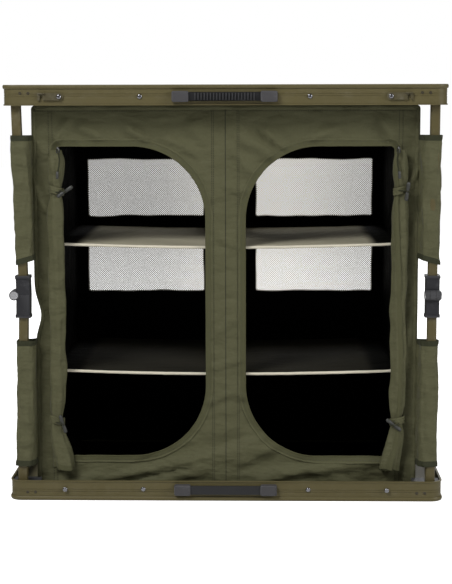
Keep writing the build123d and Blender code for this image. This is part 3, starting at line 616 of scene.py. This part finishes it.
def front_billow(x, z):
    """How far the front cloth stands out at a point: broad sway, folds, seam ridges and puckers."""
    broad = broad_sway * noise.noise(Vector((x * 11, z * 8, 1.3)))
    small = small_sway * noise.noise(Vector((x * 42, z * 30, 5.1)))
    gathers = peak(z, front_high.z, 0.075) + peak(z, front_low.z, 0.05)
    ridge = 0.5 - abs(noise.noise(Vector((x * 27 + z * 9, z * 8.5, 2.2))))
    small += gather_height * (0.25 + gathers) * (ridge - 0.3)
    pucker = 0.0
    for seam in (-seam_x, 0.0, seam_x):
        rough = noise.noise(Vector((seam * 30, z * 110, 7.7)))
        pucker += peak(x, seam, seam_width) * (seam_ridge + seam_pucker * rough)
    hem = hem_ridge * peak(z, front_high.z, 0.009, 4)
    most = most_at_middle + more_beside * min(1.0, (x / middle_half) ** 2)
    least = hem_proud if z > painted_shade_band_from else least_proud
    if abs(x) > corner_from_x and (z > corner_high or z < corner_low):
        least = corner_proud
    folds = fold_height(front_folds, x * 1000, z * 1000)
    return max(least, min(most, broad + small + pucker + hem + folds))


notch_from_x, notch_level, notch_depth, notch_width, notch_half = -0.244, 0.257, 0.0085, 0.018, 0.024


def drawn_in(x, z):
    """The left edge of the front is pulled inwards just below the knee."""
    if x < notch_from_x:
        x += notch_depth * peak(z, notch_level, notch_half) * min(1.0, (notch_from_x - x) / notch_width)
    return x


def spread(path, step):
    """A closed line's points, with more added so that none is much further than step from the next."""
    full = []
    for here, there in zip(path, path[1:] + path[:1]):
        pieces = max(1, round(math.dist(here, there) / step))
        full += [
            (here[0] + (there[0] - here[0]) * k / pieces, here[1] + (there[1] - here[1]) * k / pieces)
            for k in range(pieces)
        ]
    return full


def arc(centre_x, centre_z, radius, start, sweep, steps):
    """Points on part of a circle, anticlockwise from a start in degrees."""
    angles = [math.radians(start + sweep * turn / steps) for turn in range(steps + 1)]
    return [
        (centre_x + radius * math.cos(angle), centre_z + radius * math.sin(angle)) for angle in angles]


def door_line(side, step=0.004):
    """Points round a doorway, straight on the outside, with a wide curve on the inside."""
    wide, tight = door_inner_radius, door_outer_radius
    path = []
    for centre_x, centre_z, radius, start in (
        (door_outer_edge - tight, door_head - tight, tight, 0),
        (door_inner_edge + wide, door_head - wide, wide, 90),
        (door_inner_edge + wide, door_sill + wide, wide, 180),
        (door_outer_edge - tight, door_sill + tight, tight, 270),
    ):
        path += arc(
            centre_x, centre_z, radius, start, 90, max(4, round(radius * math.pi / 2 / step)))
    return [(side * x, z) for x, z in spread(path, step)]


def panel_outline(low_x, high_x, low_z, high_z, radius, step=0.005, corner_steps=4):
    """Points round a rectangle with rounded corners."""
    path = []
    for centre_x, centre_z, start in (
        (high_x - radius, high_z - radius, 0), (low_x + radius, high_z - radius, 90),
        (low_x + radius, low_z + radius, 180), (high_x - radius, low_z + radius, 270),
    ):
        path += arc(centre_x, centre_z, radius, start, 90, corner_steps)
    return spread(path, step)


def inside(x, z, ring):
    """Whether a point lies inside a closed line."""
    crossed = False
    for (x0, z0), (x1, z1) in zip(ring, ring[1:] + ring[:1]):
        if (z0 > z) != (z1 > z) and x < (x1 - x0) * (z - z0) / (z1 - z0) + x0:
            crossed = not crossed
    return crossed


def cut_cloth(outline, cuts, step, row_share=0.87, joined_within=0.0004):
    """A flat cloth with openings: its points in x and z and its triangles, all about step in size."""
    points = [Vector(p) for p in outline]
    rings = [list(range(len(points)))]
    for cut in cuts:
        rings.append(list(range(len(points), len(points) + len(cut))))
        points += [Vector(p) for p in cut]
    edges = [(ring[k], ring[(k + 1) % len(ring)]) for ring in rings for k in range(len(ring))]
    low_x, high_x = min(p[0] for p in outline), max(p[0] for p in outline)
    low_z, high_z = min(p[1] for p in outline), max(p[1] for p in outline)
    columns, rows = int((high_x - low_x) / step), int((high_z - low_z) / (step * row_share))
    boxes = [
        (min(x for x, _ in cut), max(x for x, _ in cut), min(z for _, z in cut), max(z for _, z in cut))
        for cut in cuts
    ]

    def opened(x, z, margin):
        """Whether a point lies in an opening, looked for within a margin of its box."""
        return any(
            a - margin < x < b + margin and c - margin < z < d + margin and inside(x, z, cut)
            for (a, b, c, d), cut in zip(boxes, cuts)
        )

    for row in range(1, rows):
        z = low_z + (high_z - low_z) * row / rows
        for column in range(1, columns):
            x = low_x + (high_x - low_x) * (column + (row % 2) / 2) / columns
            if x < high_x - step / 3 and not opened(x, z, step):
                points.append(Vector((x, z)))
    flat, _, faces, _, _, _ = delaunay_2d_cdt(points, edges, [], 0, joined_within)
    kept = []
    for face in faces:
        x = sum(flat[k].x for k in face) / len(face)
        z = sum(flat[k].y for k in face) / len(face)
        if inside(x, z, outline) and not opened(x, z, 0.0):
            kept.append(tuple(face))
    return flat, kept


hem_rise, corner_radius, front_weave_step, door_corners_area = 0.0068, 0.004, 0.0055, 0.0044
front_outline = panel_outline(
    front_low.x, front_high.x, front_low.z, front_high.z + hem_rise, corner_radius)
flat, faces = cut_cloth(front_outline, [door_line(-1), door_line(1)], front_weave_step)
front_cloth_y = front_low.y
points = [(drawn_in(p.x, p.y), front_cloth_y - front_billow(p.x, p.y), p.y) for p in flat]
front_cloth = cloth_piece(
    "front_cloth", points, faces, panel_cloth, lining_cloth, thickness=cloth_thickness * 0.8)
settle(front_cloth, "base", ["cabinet_front"])


def offset_line(line, distance):
    """A closed line that bulges outwards, moved out by a distance, point for point."""
    middle = Vector((sum(x for x, _ in line) / len(line), sum(z for _, z in line) / len(line)))
    moved = []
    for before, here, after in zip(line[-1:] + line[:-1], line, line[1:] + line[:1]):
        run = Vector(after) - Vector(before)
        out = Vector((run.y, -run.x)).normalized()
        if out.dot(Vector(here) - middle) < 0:
            out.negate()
        moved.append(Vector(here) + out * distance)
    return moved


def band(name, lines, profile, place, materials):
    """Bands along closed lines: the profile lists distance out, height off the cloth and material.

    Two materials in one place take turns along the line, as stitches do.
    """
    points, faces, paints = [], [], []
    for line in lines:
        start, count = len(points), len(line)
        for distance, height, _ in profile:
            points += [place(p.x, p.y, height) for p in offset_line(line, distance)]
        faces += grid_faces(len(profile) - 1, count, start)
        for _, _, paint in profile[:-1]:
            paints += [paint[k % 2] if isinstance(paint, tuple) else paint for k in range(count)]
    return cloth_piece(name, points, faces, *materials, paints=paints)


def on_front(x, z, height):
    """A point that stands off the front's outer face by a height."""
    return (drawn_in(x, z), front_cloth_y - front_billow(x, z) - height, z)


# Binding: a strip of the same cloth folded over the free edge of the front, all the way round, and sewn
# through both its layers about 4 mm in.
binding_profile = (
    (-0.0048, 0.0, 0), (-0.0046, 0.0008, 0), (-0.0022, 0.0010, 0), (0.0004, 0.0009, 0),
    (0.0010, 0.0002, 0), (0.0010, -0.0010, 0), (0.0003, -0.0018, 0), (-0.0044, -0.0018, 0),
)
front_binding = band("front_binding", [front_outline], binding_profile, on_front, [outer_cloth])
settle(front_binding, "base", ["cabinet_front"])

# Doorways: each edge has a flat zip tape turned over at its rim and sewn down with a row of dark
# stitches, and beside it a low welt of the front's own cloth.
zip_profile = (
    (-0.0004, -0.0012, 0), (-0.0007, 0.0001, 0), (-0.0004, 0.0009, 0), (0.0004, 0.0010, 0),
    (0.0010, 0.0005, 0), (0.0024, 0.0006, 0), (0.0040, 0.0007, 0), (0.0052, 0.0006, (0, 1)),
    (0.0058, 0.0006, 0), (0.0074, 0.0007, 2), (0.0080, 0.0012, 2), (0.0088, 0.0014, 2),
    (0.0096, 0.0010, 2), (0.0103, 0.0001, 2),
)
stitch_step = 0.003
door_edges = band(
    "door_edges", [door_line(-1, stitch_step), door_line(1, stitch_step)], zip_profile, on_front,
    [zip_tape, zip_coil, outer_cloth],
)
settle(door_edges, "base", ["door_zips"])

# Cabinet walls: side walls, floor and ceiling in one strip of cloth sewn into a tube, olive outside and
# black inside. The side walls swell out a little between the shelves and the ceiling hangs slack.
walls_low, walls_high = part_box("cabinet_walls")
ceiling_level = front_high.z + 0.0012
tube_gap, floor_gap_inside, tube_corner, tube_step, tube_rows = 0.0004, 0.0008, 0.006, 0.008, 38
wall_thickness, side_band = 0.0008, 0.004
wall_swell, wall_ripple, floor_ripple = 0.0022, 0.0014, 0.0006
ceiling_slack, ceiling_ripple = 0.0040, 0.0012
swells_per_metre, ripples_per_metre = 17.5, 22


def wall_point(x, z, y, sway):
    """A point of the tube, moved out from a side wall, or down from the ceiling."""
    across = 1 - (y / walls_high.y) ** 2
    if abs(x) > walls_high.x - side_band:
        swell = wall_swell * across * abs(math.sin(z * swells_per_metre))
        x += math.copysign(swell + max(0.0, wall_ripple * sway), x)
    elif z > cabinet_middle[2]:
        slack = ceiling_slack * across * (1 - (x / walls_high.x) ** 2)
        z -= slack + ceiling_ripple * abs(sway) * across
    else:
        z += floor_ripple * abs(sway) * across
    return (x, y, z)


tube_line = panel_outline(
    walls_low.x + tube_gap, walls_high.x - tube_gap, walls_low.z + floor_gap_inside, ceiling_level,
    tube_corner, tube_step)
points = []
for row in range(tube_rows + 1):
    y = walls_low.y + (walls_high.y - walls_low.y) * row / tube_rows
    for x, z in tube_line:
        sway = noise.noise(Vector([place * ripples_per_metre for place in (x, y, z)]))
        points.append(wall_point(x, z, y, sway))
wall_cloth = cloth_piece(
    "wall_cloth", points, grid_faces(tube_rows, len(tube_line), turned_over=True), outer_cloth,
    lining_cloth, thickness=wall_thickness)
settle(wall_cloth, "base", ["cabinet_walls"])

# Shade band: a strip of the black lining round the top of the cabinet, tucked up inside the top frame. It
# is painted shade: black cloth that fills the gap under the rail, above the front's hem, where the rail's
# shadow falls.
band_low, band_high = ceiling_level - 0.002, walls_high.z - 0.001
band_x, band_y, band_rows, band_ripple = 0.2585, -front_low.y - 0.0016, 6, 0.0008
band_line = panel_outline(-band_x, band_x, -band_y, band_y, 0.012, 0.006)
points = []
for row in range(band_rows + 1):
    z = band_low + (band_high - band_low) * row / band_rows
    for x, y in band_line:
        sway = abs(band_ripple * noise.noise(Vector((x * 30, y * 30, z * 60))))
        points.append((x - math.copysign(sway, x), y - math.copysign(sway, y), z))
painted_shade_band = cloth_piece("painted_shade_band", points, grid_faces(band_rows, len(band_line)), lining_cloth)
settle(painted_shade_band, "base", ["cabinet_walls"])

# Cabinet back: one cloth with four windows cut in it, olive outside and black inside, bound in dark
# webbing. The edges of its windows are a little slack.
back_low, back_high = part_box("cabinet_back")
mesh_low, mesh_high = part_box("window_meshes")
window_seam = 0.006
window_width, window_height = 0.183, 0.090
window_x = mesh_high.x - window_seam - window_width / 2
window_inset = window_seam + window_height / 2
window_levels = (mesh_low.z + window_inset, mesh_high.z - window_inset)
window_slack, back_sway, edge_wander = 0.0022, 0.0014, 0.0012


def back_point(x, z):
    """A point of the back: wavy at the windows' edges and swaying slightly in depth."""
    slack = window_slack * noise.noise(Vector((x * 26, z * 9, 3.1)))
    sway = back_sway * noise.noise(Vector((x * 12, z * 12, 8.3)))
    return (x + edge_wander * noise.noise(Vector((x * 8, z * 24, 6.4))), back_high.y + sway, z + slack)


window_lines = [
    panel_outline(
        side * window_x - window_width / 2, side * window_x + window_width / 2,
        level - window_height / 2, level + window_height / 2, 0.003)
    for side in (-1, 1)
    for level in window_levels
]
back_outline = panel_outline(back_low.x, back_high.x, back_low.z, back_high.z, 0.009)
flat, faces = cut_cloth(back_outline, window_lines, 0.0075)
back_cloth = cloth_piece(
    "back_cloth", [back_point(p.x, p.y) for p in flat], [face[::-1] for face in faces],
    outer_cloth, lining_cloth, thickness=cloth_thickness * 0.7)
settle(back_cloth, "base", ["cabinet_back"])


def on_back(x, z, height):
    """A point that stands off the back's outer face by a height."""
    place = back_point(x, z)
    return (place[0], place[1] + height, place[2])


window_binding = band(
    "window_bindings", window_lines,
    ((-0.0010, -0.0012, 0), (-0.0012, 0.0004, 0), (0.0002, 0.0010, 0), (0.0058, 0.0010, 0),
     (0.0062, 0.0001, 0)),
    on_back, [webbing])
settle(window_binding, "base", ["cabinet_back"])
back_binding = band("back_binding", [back_outline], binding_profile, on_back, [webbing])
settle(back_binding, "base", ["cabinet_back"])

# Windows: fine pale net with its holes set in staggered rows, a piece to each opening, sewn down under
# the window's binding.
net_overlap, net_behind, columns, rows = 0.004, 0.0002, 24, 14
points, faces = [], []
for line in window_lines:
    wide = offset_line(line, net_overlap)
    xs, zs = [p.x for p in wide], [p.y for p in wide]
    faces += grid_faces(rows, columns + 1, len(points), closed=False, turned_over=True)
    for row in range(rows + 1):
        for column in range(columns + 1):
            x = min(xs) + (max(xs) - min(xs)) * column / columns
            z = min(zs) + (max(zs) - min(zs)) * row / rows
            points.append(on_back(x, z, net_behind))
window_net = cloth_piece("window_net", points, faces, window_mesh)
settle(window_net, "base", ["window_meshes"])

# Shelves: stiff boards in cloth covers, bound in cream webbing along the front. Each sags a little
# between the side walls, and rides on the slide that carries it.
def tube_faces(rows, around):
    """Faces of a closed tube: its rows of quads, and a cap on each end."""
    caps = [tuple(range(around))[::-1], tuple(range(rows * around, (rows + 1) * around))]
    return grid_faces(rows, around) + caps


shelf_thickness, binding_reach, columns, rim_steps, rim_step = 0.004, 0.0025, 72, 8, 0.012
for name in ("lower_shelf", "upper_shelf"):
    low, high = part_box(name)
    sag = high.z - low.z - shelf_thickness
    half_x, half_y = high.x, high.y
    radius = shelf_thickness / 2
    section = []
    for centre_y, start in ((-half_y + radius, 90), (half_y - radius, 270)):
        section += arc(centre_y, 0.0, radius, start, 180, rim_steps)
    section = spread(section, rim_step)
    count = len(section)
    points = []
    for column in range(columns + 1):
        x = -half_x + 2 * half_x * column / columns
        drop = sag * (1 - (x / half_x) ** 2) + radius
        for y, z in section:
            ripple = 0.0005 * noise.noise(Vector((x * 60, y * 60, high.z * 10)))
            points.append((x, y, high.z - drop + z + min(0.0, ripple)))
    bound = [
        1 if (here[0] + there[0]) / 2 < -half_y + binding_reach else 0
        for here, there in zip(section, section[1:] + section[:1])
    ]
    board = cloth_piece(
        f"{name}_board", points, tube_faces(columns, count), shelf_cover, cream_webbing,
        paints=bound * columns + [0, 0])
    settle(board, name, [name])

# Sleeves: loops of olive cloth sewn to the free edges of the cabinet and wrapped round the legs, hemmed
# with dark webbing at each end and drawn in where the seam pulls them towards the cabinet.
joint_places = {
    joint["name"]: Vector(joint["pos_m"]) for joint in frame["record"]["behaviour"]["joints"]
    if "pos_m" in joint
}
leg_foot_z = joint_places["front_left_foot"].z
knee_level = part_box("top_rail")[1].z / 2
knee_in, hem_length, hem_fullness, droop_depth = 0.0064, 0.0075, 0.085, 0.0035
seam_x_reach, seam_y_reach, seam_sway, seam_turn = 0.2655, 0.1500, 0.0012, 0.50
outer_reach, inner_reach, depth_reach, squareness = 0.0088, 0.0150, 0.0080, 0.62
sleeve_round, sleeve_rows, folded_sleeve = 0.092, 46, 0.5


def leg_centre(corner, z):
    """The middle of a leg at a level; it leans towards its folding side up to the knee."""
    foot = joint_places[f"{corner}_foot"]
    fold = corners[corner][2]
    rise = (knee_level - abs(z - knee_level) - leg_foot_z) / (knee_level - leg_foot_z)
    return Vector((foot.x, foot.y, z)) + fold * knee_in * rise


def sleeve_ring(corner, z, seam, seed, count=48):
    """Points round a sleeve at a level: a soft square round the tube, drawn out to its seam."""
    side_x, side_y = corners[corner][:2]
    centre = leg_centre(corner, z)
    seam_at = Vector((side_x * seam, side_y * seam_y_reach, z))
    seam_way = math.atan2((seam_at - centre).y, (seam_at - centre).x)
    ring = []
    for k in range(count):
        angle = math.tau * k / count
        across, away = math.cos(angle), math.sin(angle)
        reach_x = outer_reach if across * side_x > 0 else inner_reach
        soft_x = math.copysign(abs(across) ** squareness, across) * reach_x
        soft_y = math.copysign(abs(away) ** squareness, away) * depth_reach
        place = centre + Vector((soft_x, soft_y, 0))
        out = Vector((across, away, 0))
        fold = noise.noise(Vector((angle * 1.1 + seed * 7, z * 26 + angle * 0.6, seed)))
        crease = 1 - abs(noise.noise(Vector((angle * 1.6 + seed * 3, z * 48 - angle * 1.4, seed + 4))))
        place += out * (0.0026 * fold + 0.0019 * (crease - 0.7))
        turn = (angle - seam_way + math.pi) % math.tau - math.pi
        ring.append(place.lerp(seam_at, peak(turn, 0.0, seam_turn)))
    return ring


for seed, corner in enumerate(corners):
    for half, body, joint in (("lower", "lower_leg", "foot"), ("upper", "upper_leg", "knee")):
        node = f"{corner}_{half}_sleeve"
        low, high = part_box(node)
        points, paints = [], []
        for row in range(sleeve_rows + 1):
            share = row / sleeve_rows
            level = low.z + (high.z - low.z) * share
            seam = seam_x_reach + seam_sway * noise.noise(Vector((level * 20, seed * 3.0, 0)))
            ring = sleeve_ring(corner, level, seam, seed + (5 if half == "upper" else 0))
            centre = leg_centre(corner, level)
            hem = min(level - low.z, high.z - level) < hem_length
            for place in ring:
                out = (place - centre) * (hem_fullness if hem else 0.0)
                droop = droop_depth * (1 - share) * (place.x - centre.x) / 0.012 * corners[corner][0]
                points.append(place + Vector((out.x, out.y, -droop if half == "upper" else 0.0)))
        for row in range(sleeve_rows):
            middle = low.z + (high.z - low.z) * (row + 0.5) / sleeve_rows
            hemmed = min(middle - low.z, high.z - middle) < hem_length
            paints += [1 if hemmed else 0] * len(ring)
        name = f"{corner}_sleeve" if half == "upper" else f"{corner}_low_sleeve"
        sleeve = cloth_piece(
            name, points, grid_faces(sleeve_rows, len(ring)), outer_cloth, webbing, paints=paints)
        settle(sleeve, f"{corner}_{body}", [node])
        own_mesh(sleeve)

# Rolled doors: each door is wound into a loose roll, its zip edge outside, and tied back in two places
# at the outer side of its doorway. The rolls swell between the ties and flare out at the hem.
side_names = {-1: "left", 1: "right"}
ties_low, ties_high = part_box("door_ties")
tie_inset = 0.013
tie_levels = (ties_low.z + tie_inset, ties_high.z - tie_inset)
roll_rise, roll_radius, roll_flatness = 0.017, 0.0118, 0.66
hem_flare, tie_nip, head_taper = 0.0034, 0.0044, 0.0040
rows, turns, per_turn, edge_columns, edge_rows = 118, 4.6, 24, 2, 2
edge_lift, edge_from, edge_share = 0.0011, 0.965, 0.035
columns = round(turns * per_turn)
rolls = {}
for side, roll_x, knot_shift, hem_shift in (
    (-1, -0.2325, -0.0040, 0.0052), (1, 0.2405, -0.0010, -0.0115)
):
    node = f"{side_names[side]}_door_roll"
    low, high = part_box(node)
    middle_y = (low.y + high.y) / 2
    roll_head = high.z + roll_rise
    points = []
    for row in range(rows + 1):
        share = row / rows
        z = low.z + (roll_head - low.z) * share
        near_tie = max(peak(z, level, 0.017) for level in tie_levels)
        flare = peak(z, low.z, 0.045)
        swell = roll_radius + hem_flare * flare - tie_nip * near_tie
        swell -= head_taper * peak(z, roll_head, 0.010)
        swell += 0.0010 * noise.noise(Vector((side * 3, z * 19, 0.4)))
        lean = 0.0020 * noise.noise(Vector((side * 9, z * 9, 2.4)))
        lean += knot_shift * peak(z, tie_levels[0], 0.045)
        lean += hem_shift * peak(z, low.z, 0.034)
        for column in range(columns + 1):
            wound = column / columns
            angle = side * (math.tau * turns * wound + 0.9 + 0.5 * math.sin(z * 9))
            reach = swell * (0.22 + 0.78 * wound)
            pleat = 0.10 * math.sin(5 * angle + 14 * z + side) + 0.05 * math.sin(9 * angle - 31 * z)
            wave = 0.16 * noise.noise(Vector((angle * 0.8, z * 34, side * 2.0 + wound * 3)))
            reach *= 1 + (pleat * (1.0 + 0.9 * near_tie + 0.5 * flare) + 1.5 * wave) * wound
            lift = edge_lift * max(0.0, (wound - edge_from) / edge_share)
            points.append((
                roll_x + lean + (reach + lift) * math.cos(angle),
                middle_y + roll_flatness * (reach + lift) * math.sin(angle),
                z + 0.0022 * math.sin(2.2 * angle) * flare,
            ))
    paints = [
        1 if column >= columns - edge_columns or row < edge_rows else 0
        for row in range(rows)
        for column in range(columns)
    ]
    roll = cloth_piece(
        f"{node}_cloth", points, grid_faces(rows, columns + 1, closed=False), outer_cloth, zip_tape,
        paints=paints)
    settle(roll, "base", [node])
    rolls[side] = (roll, roll_x, middle_y, knot_shift)


# Door ties: a ridged loop of the doors' own cloth round each roll, closed by a plastic toggle in a cord
# eye. The toggles hang as they do in the photograph, each at its own tilt in degrees from upright.
def circle(centre, side, other, radius, around):
    """Points round a centre, in the plane of two directions."""
    angles = [math.tau * turn / around for turn in range(around)]
    return [centre + (side * math.cos(angle) + other * math.sin(angle)) * radius for angle in angles]


def swept(name, path, radius, material, around=10):
    """A round cord along a list of points."""
    points = []
    for k, here in enumerate(path):
        run = (Vector(path[min(k + 1, len(path) - 1)]) - Vector(path[max(k - 1, 0)])).normalized()
        side = run.orthogonal() if k == 0 else (side - run * side.dot(run)).normalized()
        side.normalize()
        points += circle(Vector(here), side, run.cross(side), radius, around)
    return cloth_piece(name, points, tube_faces(len(path) - 1, around), material)


def turned(name, place, way, profile, material, around=20):
    """A lathe-turned piece from place along way; the profile lists distances along it and radii."""
    way = Vector(way).normalized()
    side = way.orthogonal().normalized()
    points = []
    for along, radius in profile:
        points += circle(Vector(place) + way * along, side, way.cross(side), radius, around)
    return cloth_piece(name, points, tube_faces(len(profile) - 1, around), material)


# Each tie's side and level: its toggle's tilt, and how far aside of the roll's middle it hangs
toggle_tilts = {
    (-1, 0): (-18.0, 0.0090), (-1, 1): (56.0, 0.0125), (1, 0): (-52.0, -0.0055), (1, 1): (8.0, 0.0085)}
toggle_drops = (0.004, 0.001)
toggle_half, toggle_front, eye_front, eye_radius = 0.013, 0.0102, 0.0066, 0.0008
toggle_profile = (
    (0.0, 0.0014), (0.0006, 0.0023), (0.003, 0.0028), (0.011, 0.0024), (0.0122, 0.0019),
    (0.0138, 0.0019), (0.015, 0.0024), (0.023, 0.0028), (0.0254, 0.0023), (0.026, 0.0014),
)
tie_profile = (
    (-0.0052, 0.0), (-0.0048, 0.0008), (-0.0028, 0.0012), (-0.0018, 0.0004), (-0.0008, 0.0012),
    (0.0008, 0.0012), (0.0018, 0.0004), (0.0028, 0.0012), (0.0048, 0.0008), (0.0052, 0.0),
)
tie_reach_x, tie_reach_y, tie_slant, tie_around = 0.0094, 0.0070, 0.0022, 40
tie_pieces = []
for (side, which), (tilt, aside) in toggle_tilts.items():
    _, roll_x, middle_y, knot_shift = rolls[side]
    level = tie_levels[which]
    roll_x += knot_shift if which == 0 else 0.0
    place = side_names[side]
    points = []
    for lift, out in tie_profile:
        for k in range(tie_around):
            angle = math.tau * k / tie_around
            points.append((
                roll_x + (tie_reach_x + out) * math.cos(angle),
                middle_y + (tie_reach_y + out) * math.sin(angle),
                level + lift + tie_slant * side * math.cos(angle),
            ))
    strap = cloth_piece(
        f"{place}_tie_{which}", points, grid_faces(len(tie_profile) - 1, tie_around), outer_cloth)
    toggle_way = Vector((math.sin(math.radians(tilt)), 0.0, math.cos(math.radians(tilt))))
    toggle_place = Vector((roll_x + aside, middle_y - toggle_front, level - toggle_drops[which]))
    toggle = turned(
        f"{place}_toggle_{which}", toggle_place - toggle_way * toggle_half, toggle_way, toggle_profile,
        toggle_plastic)
    eye = swept(
        f"{place}_eye_{which}",
        [(roll_x - side * 0.004, middle_y - eye_front, level),
         toggle_place + Vector((-0.002, -0.0020, 0.001)),
         toggle_place + Vector((0.0, -0.0031, 0.0)),
         toggle_place + Vector((0.002, -0.0020, -0.001)),
         (roll_x + side * 0.003, middle_y - eye_front, level - 0.002)],
        eye_radius, webbing, around=8)
    for piece in (strap, toggle, eye):
        settle(piece, "base", ["door_ties"])
        tie_pieces.append(piece)

# Zip sliders: black metal bodies at the heads of the zips, with cord pulls that hang over the rolls. A
# small moulded grip closes the end of each pull.
slider_rise, slider_aside, slider_front, slider_half = 0.0050, 0.004, 0.0078, 0.0045
slider_profile = ((0.0, 0.0022), (0.0012, 0.0028), (0.0052, 0.0026), (0.0080, 0.0017), (0.0090, 0.0012))
pull_end_profile = ((0.0, 0.0012), (0.0010, 0.0019), (0.0090, 0.0021), (0.0105, 0.0014))
pull_radius = 0.0011
slider_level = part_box("zip_sliders")[1].z + slider_rise
for side, (_, roll_x, middle_y, _) in rolls.items():
    place = side_names[side]
    at_x = roll_x - side * slider_aside
    base_y = middle_y - slider_front
    slider = turned(
        f"{place}_slider", (at_x, base_y - 0.0024, slider_level - slider_half), (0, 0, 1),
        slider_profile, zip_metal, 16)
    pull_path = [
        (at_x, base_y - 0.0046, slider_level + 0.001),
        (at_x - side * 0.001, base_y - 0.0070, slider_level - 0.004),
        (at_x - side * 0.002, middle_y - 0.0096, slider_level - 0.012),
        (at_x - side * 0.001, middle_y - 0.0112, slider_level - 0.022),
        (at_x + side * 0.001, middle_y - 0.0114, slider_level - 0.033)]
    pull = swept(f"{place}_pull", pull_path, pull_radius, webbing)
    knot = turned(
        f"{place}_pull_end", Vector(pull_path[-1]) + Vector((0, 0, 0.004)), (side * 0.05, 0.0, -1),
        pull_end_profile, toggle_plastic, 14)
    for piece in (slider, pull, knot):
        settle(piece, "base", ["zip_sliders"])
        tie_pieces.append(piece)

# Doors as cloth: each roll is a door cut to its doorway, and its ties are sewn to it. Each roll and each
# piece of its ties and slider gets a mesh of its own.
for side, (roll, *_) in rolls.items():
    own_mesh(roll)
for piece in tie_pieces:
    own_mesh(piece)

# Corner ties: short webbing straps between the cabinet's corners and the frames. The top ones are copied
# to a piece of their own on the top frame.
dress(strap_webbing, "base_corner_ties")
# The top ties take the dark webbing rather than the base ties' grey strap webbing: painted shade for the
# shadow under the top rail.
ties_node = frame["nodes"]["top_corner_ties"]
top_ties_painted_shade = bpy.data.objects.new("top_ties_painted_shade", ties_node.data.copy())
top_ties_painted_shade.matrix_world = ties_node.matrix_world.copy()
top_ties_painted_shade.data.materials.clear()
top_ties_painted_shade.data.materials.append(webbing)
scene.collection.objects.link(top_ties_painted_shade)
settle(top_ties_painted_shade, "top", ["top_corner_ties"])
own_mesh(top_ties_painted_shade)

# The cabinet flattens on to the base board as the legs fold, to a twentieth of its height; here its
# cloth, windows and bindings each only get a mesh of their own.
for piece in (
    front_cloth, front_binding, door_edges, wall_cloth, painted_shade_band, back_cloth, window_binding,
    back_binding, window_net,
):
    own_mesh(piece)
